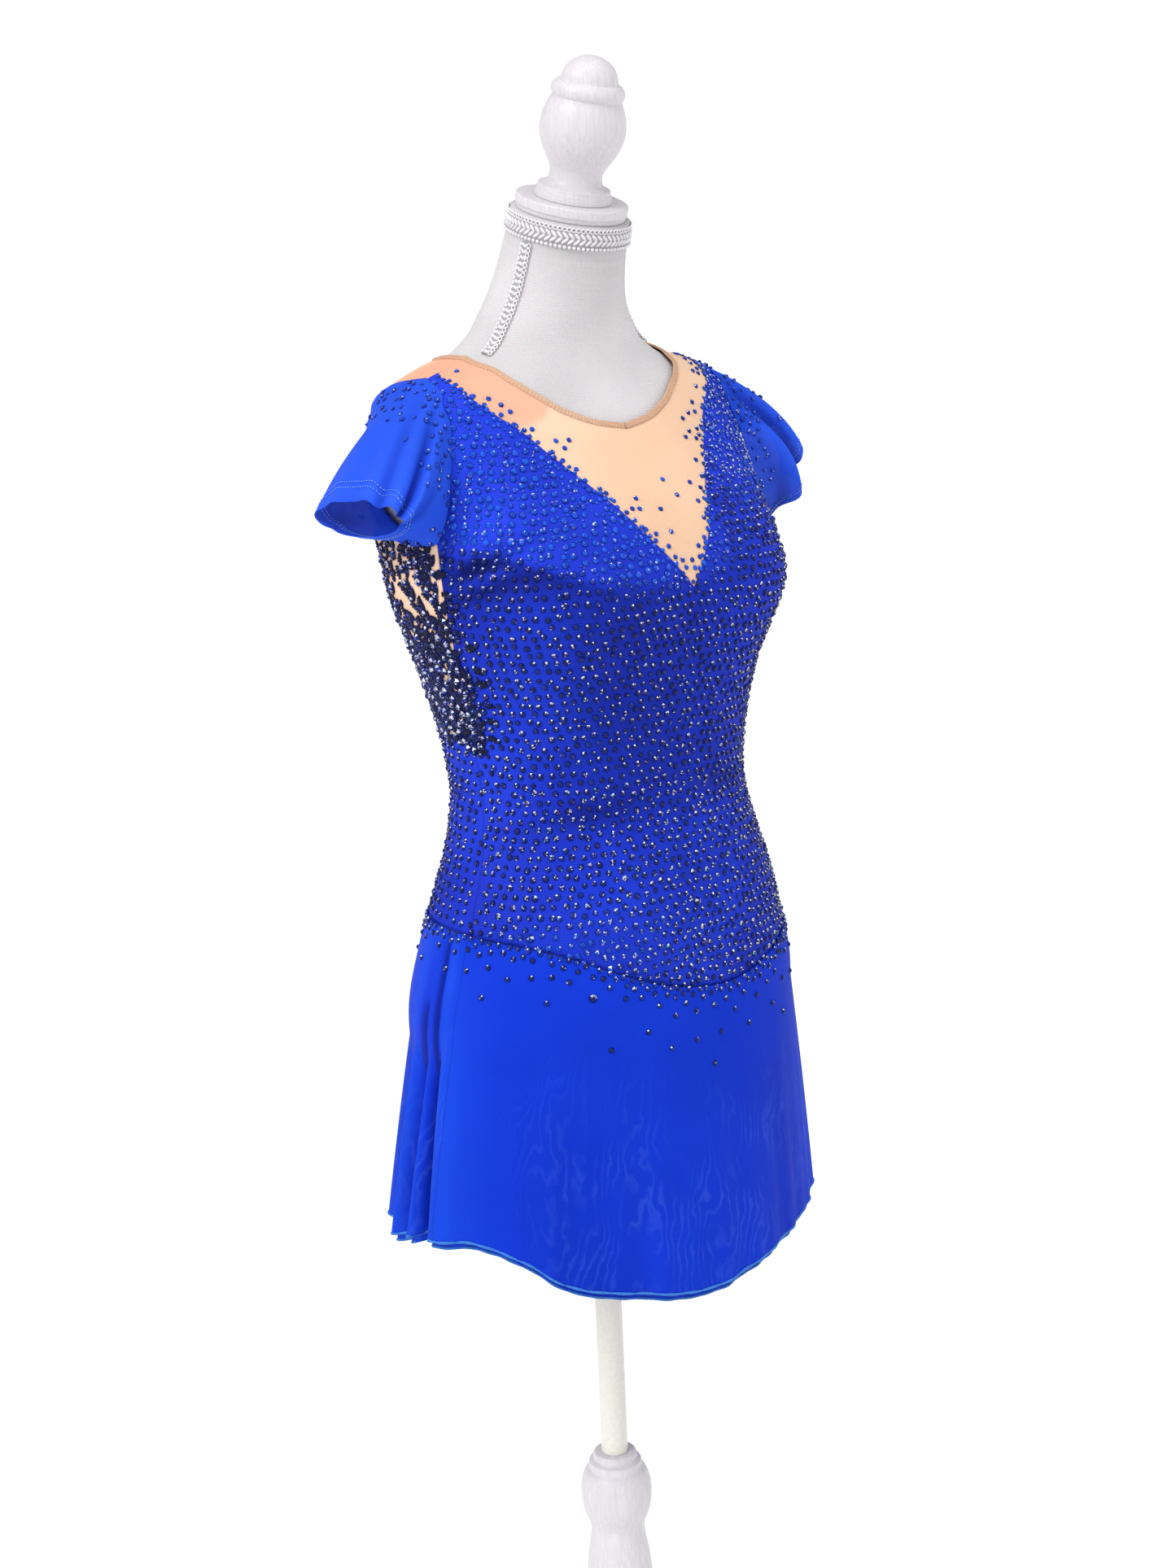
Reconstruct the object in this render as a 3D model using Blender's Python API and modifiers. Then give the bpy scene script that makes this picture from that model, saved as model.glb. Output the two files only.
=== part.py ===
"""Figure skating dress worn on a limbless dress form with its stand.

Metres, +Z up. The origin is the centre of the stand's base on the floor.
The front of the dress faces -Y and the wearer's right side is at -X.
Angles go round the body from the centre front (0) by the left side (90) to the back (180).
"""

import bpy
import numpy as np

# Cloth.
SKIN_GAP = 0.0009
STRETCH_GAP = 0.0014
# The dress comes away from the neck over this height.
HANG_HEIGHT = 0.010
WALL = 0.0013
SEAM_GAP = 0.0003
SLEEVE_WALL = 0.0011
SKIRT_WALL = 0.0011
SLEEVE_CLEARANCE = 0.0003
LACE_WALL = 0.0010
LACE_CLEARANCE = 0.0004
BRAID_WALL = 0.0010
BRAID_BULGE = 0.0007
SIDE_BRAID_HALF_WIDTH = 0.0045
SIDE_BRAID_TOP = 1.4495
SIDE_BRAID_END = 1.3710
SIDE_BRAID_ANGLE = 80.0
SIDE_BRAID_LEAN = 3.0
NECK_BRAID_BOTTOM = 1.4510
NECK_BRAID_TOP = 1.4655
SEAM_TURN = 0.07
RIDGE = 90.0
BINDING_WIDTH = 0.006
BINDING_WALL = 0.0014
BINDING_LIFT = 0.0006
# How far the two mesh halves start above the point of the V.
YOKE_POINT_GAP = 0.0012

# Dress form and stand.
FORM_BOTTOM = 0.790
NECK_TOP = 1.467
NECK_TILT = 16.5
BUST_HEIGHT = 1.192
BUST_ANGLE = 38.0
BUST_OUT = 0.011
BUST_HALF_HEIGHT = 0.042
BUST_HALF_ANGLE = 24.0
POLE_RADIUS = 0.011
COLUMN_TOP = 0.470
# Rings below the form's lowest one. Columns: drop below it, share of its size.
FORM_BASE = [(0.009, 0.93), (0.006, 0.985)]

BODY_MIDDLE = np.array([0.0, -0.012, 0.0])

# Skirt.
SKIRT_SEAM = 80.5
SKIRT_SEAM_TURN = 0.11
HEM_FORWARD = 0.004
HEM_HALF_WIDTH = 0.188
HEM_FRONT = 0.138
HEM_BACK = 0.131
SKIRT_ROWS = 7
# Widest step between two columns of a skirt piece, in degrees.
SKIRT_FRONT_STEP = 5.5
SKIRT_BACK_STEP = 12.5
# Rows of the skirt lie closer together towards its seam, and its folds grow a little faster lower down.
SKIRT_ROW_EASE = 1.35
SKIRT_FOLD_EASE = 1.15
# Share of its flare that the skirt gains early, over the hip.
SKIRT_SPRING = 0.14
SKIRT_LAYER_GAP = 0.0006
SKIRT_HEM_CLEARANCE = 0.0006
UNDERSKIRT_INSET = 0.0045
UNDERSKIRT_LONGER = 0.006

# One row for each ring of the form, from the bottom to the top of the neck.
# Columns: ring height, forward shift, half width, front depth, back depth, forward tilt, squareness.
RINGS = np.array([
    (0.790, 0.012, 0.146, 0.093, 0.095, 0.0, 2.15),
    (0.830, 0.012, 0.157, 0.102, 0.103, 0.0, 2.20),
    (0.880, 0.012, 0.161, 0.106, 0.105, 0.0, 2.25),
    (0.930, 0.012, 0.1495, 0.105, 0.0975, 0.0, 2.30),
    (0.970, 0.0125, 0.1375, 0.1035, 0.0895, 0.0, 2.25),
    (1.005, 0.0125, 0.1255, 0.0980, 0.0835, 0.0, 2.20),
    (1.038, 0.0125, 0.1192, 0.0925, 0.082, 0.0, 2.15),
    (1.078, 0.0140, 0.1205, 0.093, 0.089, 0.0, 2.15),
    (1.120, 0.0140, 0.1290, 0.099, 0.099, 0.0, 2.15),
    (1.160, 0.012, 0.1405, 0.108, 0.107, 0.0, 2.20),
    (1.200, 0.008, 0.1515, 0.116, 0.1140, 0.0, 2.25),
    (1.240, 0.002, 0.1565, 0.109, 0.116, 0.0, 2.22),
    (1.275, -0.004, 0.1585, 0.091, 0.114, 1.0, 2.22),
    (1.303, -0.008, 0.1580, 0.075, 0.105, 2.0, 2.22),
    (1.324, -0.010, 0.1550, 0.064, 0.093, 3.0, 2.20),
    (1.340, -0.011, 0.1465, 0.0565, 0.081, 4.0, 2.25),
    (1.351, -0.011, 0.1255, 0.0525, 0.072, 5.0, 2.15),
    (1.361, -0.011, 0.0980, 0.0505, 0.065, 6.5, 2.05),
    (1.374, -0.0105, 0.0760, 0.0490, 0.059, 9.0, 2.00),
    (1.391, -0.009, 0.0625, 0.0475, 0.0535, 12.0, 2.00),
    (1.412, -0.005, 0.0520, 0.0460, 0.0490, 14.5, 2.00),
    (1.438, 0.002, 0.0463, 0.0446, 0.0460, 16.0, 2.00),
    (1.467, 0.0110, 0.0440, 0.0436, 0.0440, 16.5, 2.00),
])

# Edges on the body. Columns: share of the way along, ring height, angle from the centre front.
V_EDGE = np.array([
    (0.00, 1.2005, 0.0),
    (0.20, 1.2350, 10.0),
    (0.40, 1.2680, 18.0),
    (0.58, 1.3000, 27.5),
    (0.76, 1.3250, 37.0),
    (0.88, 1.3420, 50.0),
    (0.95, 1.3500, 65.0),
    (1.00, 1.3560, 90.0),
])
NECK_EDGE_FRONT = np.array([
    (0.00, 1.3130, 0.0),
    (0.15, 1.3175, 9.0),
    (0.35, 1.3275, 18.5),
    (0.57, 1.3415, 28.0),
    (0.75, 1.3525, 42.0),
    (0.88, 1.3600, 60.0),
    (1.00, 1.3650, 90.0),
])
NECK_EDGE_BACK = np.array([
    (0.00, 1.3650, 90.0),
    (0.30, 1.3625, 110.0),
    (0.65, 1.3555, 142.0),
    (1.00, 1.3520, 180.0),
])
ARMHOLE_FRONT = np.array([
    (0.00, 1.2455, 74.0),
    (0.20, 1.2620, 68.0),
    (0.42, 1.2900, 62.0),
    (0.64, 1.3150, 58.5),
    (0.80, 1.3340, 60.0),
    (0.90, 1.3455, 68.0),
    (1.00, 1.3515, 90.0),
])
ARMHOLE_BACK = np.array([
    (0.00, 1.2455, 74.0),
    (0.08, 1.2440, 82.0),
    (0.16, 1.2450, 91.0),
    (0.26, 1.2500, 101.0),
    (0.40, 1.2660, 110.0),
    (0.58, 1.2900, 117.0),
    (0.74, 1.3150, 120.0),
    (0.86, 1.3340, 118.0),
    (0.94, 1.3455, 110.0),
    (1.00, 1.3515, 90.0),
])
LOW_BACK_EDGE = np.array([
    (0.00, 1.1050, 85.0),
    (0.30, 1.0920, 112.0),
    (0.60, 1.0700, 144.0),
    (1.00, 1.0560, 180.0),
])
# The side seam. Columns: ring height, angle from the centre front.
SIDE_SEAM = np.array([
    (0.8900, 80.5),
    (1.0000, 81.0),
    (1.0500, 83.0),
    (1.1050, 85.0),
    (1.1400, 83.0),
    (1.1700, 80.0),
    (1.2000, 77.5),
    (1.2455, 74.0),
])
# Points across each half of the low back edge, which two pieces share.
LOW_BACK_COLUMNS = 11
# Rows of the mesh front from the centre of its neckline to the shoulder.
YOKE_ROWS = 11
# The drop waist, which sits a little lower on the left. Columns: angle from the centre front, ring height.
DROP_WAIST = np.array([
    (-180.0, 0.9520),
    (-135.0, 0.9540),
    (-100.0, 0.9540),
    (-75.0, 0.9520),
    (-57.0, 0.9485),
    (-42.0, 0.9395),
    (-28.0, 0.9245),
    (-17.0, 0.9120),
    (0.0, 0.8990),
    (12.0, 0.8955),
    (27.0, 0.9010),
    (45.0, 0.9110),
    (70.0, 0.9230),
    (100.0, 0.9340),
    (140.0, 0.9460),
    (180.0, 0.9520),
])
# The hem, a little higher over the side folds. Columns: angle from the centre front, height.
HEM_LINE = np.array([
    (-180.0, 0.712),
    (-140.0, 0.708),
    (-107.0, 0.712),
    (-84.0, 0.727),
    (-64.0, 0.725),
    (-53.0, 0.711),
    (-43.0, 0.692),
    (-25.0, 0.677),
    (-5.0, 0.664),
    (12.0, 0.667),
    (36.0, 0.672),
    (53.0, 0.674),
    (66.0, 0.678),
    (84.0, 0.704),
    (107.0, 0.710),
    (140.0, 0.708),
    (180.0, 0.712),
])
# Folds of the skirt. Columns: angle at the hem, width in degrees, depth outwards at the hem, drop where
# it starts, how far round towards the front its top sits.
SKIRT_FOLDS = np.array([
    (30.0, 14.0, -0.0030, 0.35, 0.0),
    (66.0, 7.0, 0.0060, 0.05, 5.0),
    (75.0, 6.0, -0.0075, 0.05, 5.0),
    (86.0, 7.0, 0.0080, 0.05, 3.0),
    (97.0, 6.5, -0.0110, 0.05, 0.0),
    (108.0, 7.0, 0.0080, 0.10, 0.0),
    (120.0, 7.0, -0.0100, 0.12, 0.0),
    (133.0, 7.5, 0.0075, 0.15, 0.0),
    (147.0, 8.0, -0.0080, 0.20, 0.0),
    (164.0, 9.0, 0.0050, 0.25, 0.0),
    (-36.0, 15.0, -0.0025, 0.40, 0.0),
    (-82.0, 6.5, 0.0105, 0.00, -4.0),
    (-87.5, 4.5, -0.0125, 0.00, -3.0),
    (-92.5, 5.0, 0.0095, 0.04, 0.0),
    (-98.5, 4.5, -0.0110, 0.05, 0.0),
    (-104.5, 5.5, 0.0080, 0.06, 0.0),
    (-114.0, 6.5, -0.0100, 0.10, 0.0),
    (-126.0, 7.0, 0.0045, 0.15, 0.0),
    (-140.0, 8.0, -0.0080, 0.20, 0.0),
    (-155.0, 8.5, 0.0060, 0.20, 0.0),
    (-171.0, 9.0, -0.0045, 0.25, 0.0),
])

# Sleeves. The middle of the armhole, from which turns round it are measured.
ARM_BACK = 0.008
ARM_HEIGHT = 1.295
# Loops that each sleeve passes through. Columns: distance out, more on the left, more towards the top,
# middle back, half depth, height, drop on the left, half height, more half height on the left, rise at the front.
SLEEVE_BEND = (0.1755, 0.0095, 0.0062, 0.004, 0.0570, 1.2830, 0.0020, 0.0450, 0.0, 0.0)
SLEEVE_HEM = (0.2010, 0.0045, 0.0080, 0.002, 0.0490, 1.2590, 0.0045, 0.0253, 0.0122, 0.0040)
# Soft folds from the cap down to the hem. Columns: turn in degrees, width, depth outwards.
SLEEVE_FOLDS = [(58.0, 15.0, 0.0035), (92.0, 13.0, -0.0070), (252.0, 17.0, 0.0028)]

# Side lace.
LACE_TOP = 1.2360
LACE_LENGTH = 0.141
LACE_ANGLE = 97.0
LACE_LEAN = 2.0
LACE_HALF_ANGLE = 21.5
LACE_NARROWING = 2.5
LACE_WAVE = 3.0
LACE_BAR_SWAY = 1.4

# Turned shapes. Columns: radius, height.
FINIAL_PROFILE = [
    (0.0275, 0.0003),
    (0.0275, 0.0036),
    (0.0225, 0.0042),
    (0.0225, 0.0076),
    (0.0200, 0.0088),
    (0.0194, 0.0140),
    (0.0208, 0.0200),
    (0.0258, 0.0290),
    (0.0302, 0.0390),
    (0.0316, 0.0480),
    (0.0306, 0.0575),
    (0.0276, 0.0660),
    (0.0244, 0.0715),
    (0.0256, 0.0730),
    (0.0264, 0.0762),
    (0.0256, 0.0794),
    (0.0215, 0.0808),
    (0.0212, 0.0855),
    (0.0180, 0.0925),
    (0.0115, 0.0985),
    (0.0045, 0.1012),
    (0.0000, 0.1016),
]
CAP_PROFILE = [
    (0.0395, 0.0003),
    (0.0416, 0.0012),
    (0.0416, 0.0050),
    (0.0403, 0.0058),
    (0.0403, 0.0092),
    (0.0392, 0.0105),
]
COLUMN_PROFILE = [
    (0.0290, 0.0300),
    (0.0400, 0.0420),
    (0.0405, 0.0560),
    (0.0320, 0.0680),
    (0.0300, 0.0900),
    (0.0335, 0.1700),
    (0.0330, 0.2500),
    (0.0300, 0.3200),
    (0.0258, 0.3750),
    (0.0222, 0.4020),
    (0.0238, 0.4090),
    (0.0275, 0.4190),
    (0.0292, 0.4320),
    (0.0284, 0.4440),
    (0.0252, 0.4530),
    (0.0218, 0.4565),
    (0.0216, 0.4620),
    (0.0180, 0.4640),
    (0.0176, 0.4690),
    (0.0160, 0.4700),
]
BASE_PROFILE = [
    (0.1560, 0.0000),
    (0.1600, 0.0040),
    (0.1600, 0.0130),
    (0.1540, 0.0180),
    (0.1420, 0.0200),
    (0.0620, 0.0250),
    (0.0480, 0.0280),
    (0.0460, 0.0297),
]
TURN_STEPS = 20
CAP_STEPS = 24
BASE_STEPS = 28


def smooth_curve(at, knots, values):
    """Cubic through the knots, with the slope at each knot taken from its two neighbours."""
    slopes = np.gradient(values, knots)
    at = np.clip(at, knots[0], knots[-1])
    index = np.clip(np.searchsorted(knots, at, side="right") - 1, 0, len(knots) - 2)
    span = knots[index + 1] - knots[index]
    share = (at - knots[index]) / span
    rise = share * share * (3.0 - 2.0 * share)
    leave = share * (1.0 - share) ** 2
    arrive = share * share * (share - 1.0)
    return (
        values[index] * (1.0 - rise)
        + values[index + 1] * rise
        + (slopes[index] * leave + slopes[index + 1] * arrive) * span
    )


def along(edge, share):
    """Ring height and angle at a share of the way along an edge table."""
    height = smooth_curve(share, edge[:, 0], edge[:, 1])
    angle = smooth_curve(share, edge[:, 0], edge[:, 2])
    return height, angle


def body_point(height, angle):
    """Point of the form's surface for arrays of ring height and angle in degrees."""
    column = [smooth_curve(height, RINGS[:, 0], RINGS[:, k]) for k in range(1, 7)]
    forward, half_width, front, back, tilt, square = column
    turn = np.radians(angle)
    side = np.sin(turn)
    ahead = np.cos(turn)
    swell = (np.abs(side) ** square + np.abs(ahead) ** square) ** (-1.0 / square)
    depth = np.where(ahead > 0.0, front, back)
    bust = BUST_OUT * np.exp(-(((height - BUST_HEIGHT) / BUST_HALF_HEIGHT) ** 2))
    apart = (np.abs((angle + 180.0) % 360.0 - 180.0) - BUST_ANGLE) / BUST_HALF_ANGLE
    bust = bust * np.exp(-(apart**2))
    x = side * (half_width * swell + bust)
    reach = ahead * (depth * swell + bust)
    lean = np.radians(tilt)
    y = -forward - reach * np.cos(lean)
    z = height - reach * np.sin(lean)
    return np.stack([x, y, z], axis=-1)


def out_from_body(height, angle, out):
    """Point at a distance out from the form's surface, along its normal."""
    height, angle = np.broadcast_arrays(
        np.asarray(height, float), np.asarray(angle, float)
    )
    rise = 0.0004
    turn = 0.2
    up = body_point(height + rise, angle) - body_point(height - rise, angle)
    round_way = body_point(height, angle + turn) - body_point(height, angle - turn)
    normal = np.cross(round_way, up)
    normal /= np.linalg.norm(normal, axis=-1, keepdims=True)
    return body_point(height, angle) + normal * np.asarray(out)[..., None]


def grid_quads(rows, columns, start=0, wrap=False):
    """Quads of a grid of points that is stored row by row."""
    number = start + np.arange(rows * columns).reshape(rows, columns)
    if wrap:
        number = np.concatenate([number, number[:, :1]], axis=1)
    quads = np.stack(
        [number[:-1, :-1], number[:-1, 1:], number[1:, 1:], number[1:, :-1]], axis=-1
    )
    return quads.reshape(-1, 4)


def weld(points, quads):
    """Makes points that share a place one point."""
    key = np.round(points / 1e-6).astype(np.int64)
    _, first, index = np.unique(key, axis=0, return_index=True, return_inverse=True)
    return first, index.reshape(-1)[quads]


def add_object(name, points, faces, material):
    mesh = bpy.data.meshes.new(name)
    mesh.from_pydata(points.tolist(), [], faces)
    mesh.update()
    mesh.shade_smooth()
    obj = bpy.data.objects.new(name, mesh)
    obj.data.materials.append(material)
    return obj


def cloth_object(name, points, quads, wall, outwards, material):
    """Sheet with a wall: it grows all to the outside (1) or half to each side (0)."""
    first, quads = weld(points, quads)
    points = points[first]
    faces = [tuple(dict.fromkeys(quad)) for quad in quads.tolist()]
    obj = add_object(name, points, faces, material)
    facing = 0.0
    for face in obj.data.polygons:
        outward = np.array(face.center) - BODY_MIDDLE
        facing += np.dot(np.array(face.normal)[:2], outward[:2]) * face.area
    if facing < 0.0:
        obj.data.flip_normals()
    solid = obj.modifiers.new("wall", "SOLIDIFY")
    solid.thickness = wall
    solid.offset = outwards
    solid.show_render = solid.show_viewport
    return obj


def cloth_gap(height):
    """Gap from the form to the cloth: least beside the neck, where the dress hangs."""
    rise = np.clip((NECK_EDGE_FRONT[-1, 1] - np.asarray(height, float)) / HANG_HEIGHT, 0.0, 1.0)
    return SKIN_GAP + STRETCH_GAP * rise


def on_body_cloth(name, grids, material):
    """Cloth on the form from one or more grids of ring height and angle."""
    points = []
    quads = []
    start = 0
    for height, angle in grids:
        points.append(out_from_body(height, angle, cloth_gap(height)).reshape(-1, 3))
        quads.append(grid_quads(height.shape[0], height.shape[1], start))
        start += height.size
    return cloth_object(name, np.concatenate(points), np.concatenate(quads), WALL, 1.0, material)


def patch(bottom, top, first, last):
    """Grid of ring heights and angles inside four edges.

    Rows run from bottom to top; first and last are the edges at the start and end of each row.
    Each point is the mean way between the facing edges, less what the corners count twice.
    """
    across = np.linspace(0.0, 1.0, len(bottom[0]))[None, :]
    up = np.linspace(0.0, 1.0, len(first[0]))[:, None]
    grids = []
    for k in range(2):
        rows = first[k][:, None] * (1.0 - across) + last[k][:, None] * across
        columns = bottom[k][None, :] * (1.0 - up) + top[k][None, :] * up
        corners = (
            bottom[k][0] * (1.0 - across) * (1.0 - up)
            + bottom[k][-1] * across * (1.0 - up)
            + top[k][0] * (1.0 - across) * up
            + top[k][-1] * across * up
        )
        grids.append(rows + columns - corners)
    return grids[0], grids[1]


def towards_end(count):
    """Shares from 0 to 1 that lie closer together towards 1."""
    ease = 1.6
    return 1.0 - (1.0 - np.linspace(0.0, 1.0, count)) ** ease


def drop_waist_height(angle):
    round_angle = (np.asarray(angle, float) + 180.0) % 360.0 - 180.0
    return smooth_curve(round_angle, DROP_WAIST[:, 0], DROP_WAIST[:, 1])


def seam_shift(edge, amount):
    """The edge moved sideways over the body by an amount in metres, to the left of its direction."""
    height, angle = edge
    place = body_point(height, angle)
    way = np.gradient(place, axis=0)
    way /= np.maximum(np.linalg.norm(way, axis=-1, keepdims=True), 1e-9)
    normal = out_from_body(height, angle, 1.0) - place
    sideways = np.cross(normal, way)
    small_rise = 0.0005
    small_turn = 0.25
    up = (body_point(height + small_rise, angle) - place) / small_rise
    turn = (body_point(height, angle + small_turn) - place) / small_turn
    # Least-squares step in ring height and angle that gives the sideways move.
    uu = (up * up).sum(-1)
    ut = (up * turn).sum(-1)
    tt = (turn * turn).sum(-1)
    us = (up * sideways).sum(-1) * amount
    ts = (turn * sideways).sum(-1) * amount
    wide = uu * tt - ut * ut
    return height + (us * tt - ts * ut) / wide, angle + (ts * uu - us * ut) / wide


def joined(first, second):
    return (
        np.concatenate([first[0], second[0][1:]]),
        np.concatenate([first[1], second[1][1:]]),
    )


def straight_edge(start, end, count):
    share = np.linspace(0.0, 1.0, count)
    return (
        start[0] + (end[0] - start[0]) * share,
        start[1] + (end[1] - start[1]) * share,
    )


def mirrored(grid):
    return grid[0][:, ::-1], -grid[1][:, ::-1]


def side_seam_angle(height):
    return smooth_curve(height, SIDE_SEAM[:, 0], SIDE_SEAM[:, 1])


def bodice_front_half(side):
    """Left (1) or right (-1) half of the front, from its centre and V edge out to its side."""
    lower_rows = 13
    upper_rows = 11
    columns = 14
    half_gap = SEAM_GAP * 0.5
    share = towards_end(upper_rows)
    v_edge = seam_shift(along(V_EDGE, share), -half_gap)
    v_edge[1][0] = 0.0
    v_edge[1][-1] = RIDGE - SEAM_TURN
    arm = seam_shift(along(ARMHOLE_FRONT, share), half_gap)
    arm[1][0] = ARMHOLE_FRONT[0, 2] - SEAM_TURN
    arm[1][-1] = RIDGE - SEAM_TURN
    bottom_angle = np.linspace(0.0, SKIRT_SEAM - SEAM_TURN, columns)
    bottom = (drop_waist_height(bottom_angle * side) + half_gap, bottom_angle)
    centre = straight_edge((bottom[0][0], 0.0), (v_edge[0][0], 0.0), lower_rows)
    seam_height = np.linspace(bottom[0][-1], arm[0][0], lower_rows)
    seam = (seam_height, side_seam_angle(seam_height) - SEAM_TURN)
    inner = joined(centre, v_edge)
    outer = joined(seam, arm)
    top = straight_edge((inner[0][-1], inner[1][-1]), (outer[0][-1], outer[1][-1]), columns)
    return patch(bottom, top, inner, outer)


def bodice_front_grids():
    return bodice_front_half(1.0), mirrored(bodice_front_half(-1.0))


def yoke_front_grids():
    """Left half and right half of the mesh front, each from the neckline out to the V edge."""
    share = towards_end(YOKE_ROWS)
    neck = along(NECK_EDGE_FRONT, share)
    v_edge = seam_shift(along(V_EDGE, share), SEAM_GAP * 0.5)
    v_edge[0][0] += YOKE_POINT_GAP
    v_edge[1][0] = 0.0
    v_edge[1][-1] = RIDGE - SEAM_TURN
    neck[1][-1] = RIDGE - SEAM_TURN
    columns = 7
    way = np.linspace(0.0, 1.0, columns)[None, :]
    height = neck[0][:, None] * (1.0 - way) + v_edge[0][:, None] * way
    angle = neck[1][:, None] * (1.0 - way) + v_edge[1][:, None] * way
    return (height, angle), mirrored((height, angle))


def yoke_back_grids():
    """Left half and right half of the mesh back, each from side and armhole in to the centre back."""
    side_rows = 6
    arm_rows = 12
    shoulder_columns = 3
    neck_columns = LOW_BACK_COLUMNS - 2
    arm = seam_shift(along(ARMHOLE_BACK, towards_end(arm_rows)), -SEAM_GAP * 0.5)
    arm[1][0] = ARMHOLE_BACK[0, 2] + SEAM_TURN
    arm[1][-1] = RIDGE + SEAM_TURN
    low = along(LOW_BACK_EDGE, np.linspace(0.0, 1.0, LOW_BACK_COLUMNS))
    low = (low[0] + SEAM_GAP, low[1])
    low[1][0] += SEAM_TURN
    seam_height = np.linspace(low[0][0], arm[0][0], side_rows)
    outer = joined((seam_height, side_seam_angle(seam_height) + SEAM_TURN), arm)
    neck = along(NECK_EDGE_BACK, np.linspace(0.0, 1.0, neck_columns))
    neck[1][0] = RIDGE + SEAM_TURN
    shoulder = straight_edge((arm[0][-1], RIDGE + SEAM_TURN), (neck[0][0], RIDGE + SEAM_TURN), shoulder_columns)
    top = joined(shoulder, neck)
    spread = 0.75
    rise = np.linspace(0.0, 1.0, len(outer[0])) ** spread
    centre = (low[0][-1] + (neck[0][-1] - low[0][-1]) * rise, np.full(len(rise), 180.0))
    grid = patch(low, top, outer, centre)
    return grid, mirrored(grid)


def bodice_back_grid():
    low = along(LOW_BACK_EDGE, np.linspace(0.0, 1.0, LOW_BACK_COLUMNS))
    low[1][0] += SEAM_TURN
    top = (
        np.concatenate([low[0], low[0][-2::-1]]),
        np.concatenate([low[1], 360.0 - low[1][-2::-1]]),
    )
    bottom_angle = np.linspace(SKIRT_SEAM + SEAM_TURN, 360.0 - SKIRT_SEAM - SEAM_TURN, len(top[0]))
    bottom = (drop_waist_height(bottom_angle) + SEAM_GAP * 0.5, bottom_angle)
    rows = 8
    left_height = np.linspace(bottom[0][0], top[0][0], rows)
    right_height = np.linspace(bottom[0][-1], top[0][-1], rows)
    left = (left_height, side_seam_angle(left_height) + SEAM_TURN)
    right = (right_height, 360.0 - side_seam_angle(right_height) - SEAM_TURN)
    return [patch(bottom, top, left, right)]


def neck_ring():
    """Ring heights and angles all round the neckline, at the same places as the yoke's points."""
    front = along(NECK_EDGE_FRONT, towards_end(YOKE_ROWS))
    back = along(NECK_EDGE_BACK, np.linspace(0.0, 1.0, LOW_BACK_COLUMNS - 2))
    height = np.concatenate([front[0], back[0][1:]])
    angle = np.concatenate([front[1], back[1][1:]])
    height = np.concatenate([height, height[-2:0:-1]])
    angle = np.concatenate([angle, -angle[-2:0:-1]])
    return height, angle


def binding_object(material):
    """The binding is a flat band that stands just above the yoke's neck edge."""
    height, angle = neck_ring()
    count = len(height)
    gap = cloth_gap(height)
    low = out_from_body(height, angle, gap)
    away = out_from_body(height, angle, gap + 1.0) - low
    way = np.roll(low, -1, axis=0) - np.roll(low, 1, axis=0)
    way /= np.linalg.norm(way, axis=-1, keepdims=True)
    up = np.cross(away, way)
    up /= np.linalg.norm(up, axis=-1, keepdims=True)
    to_neck = np.array([0.0, 0.0, NECK_TOP]) - low
    up *= np.sign((up * to_neck).sum(axis=-1, keepdims=True))
    # Columns: how far up from the edge, how far out from the body's gap.
    section = [
        (SEAM_GAP, -0.0002),
        (BINDING_WIDTH * 0.55, -0.0001),
        (BINDING_WIDTH * 0.95, 0.0005),
        (BINDING_WIDTH, BINDING_WALL * 0.7),
        (BINDING_WIDTH * 0.5, BINDING_WALL * 1.15),
        (SEAM_GAP, BINDING_WALL),
    ]
    rings = [low + up * s + away * (t + BINDING_LIFT) for s, t in section]
    points = np.concatenate(rings)
    faces = grid_quads(len(rings), count, wrap=True).tolist()
    last = (len(rings) - 1) * count
    for k in range(count):
        n = (k + 1) % count
        faces.append([last + k, last + n, n, k])
    faces = [face[::-1] for face in faces]
    return add_object("neckline_binding", points, faces, material)


def sleeve_loop(loop, side, turn):
    """Points of one loop of a sleeve: 0 turns is under the arm, a quarter the front, a half the top."""
    out, left_out, top_out, back, half_depth, height, left_drop, half_height, left_taller, front_rise = loop
    down = np.cos(turn)
    fore = np.sin(turn)
    return np.stack([
        out + left_out * side - top_out * down,
        back - half_depth * fore,
        height - left_drop * side - (half_height + left_taller * side) * down + front_rise * fore,
    ], axis=-1)


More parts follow.
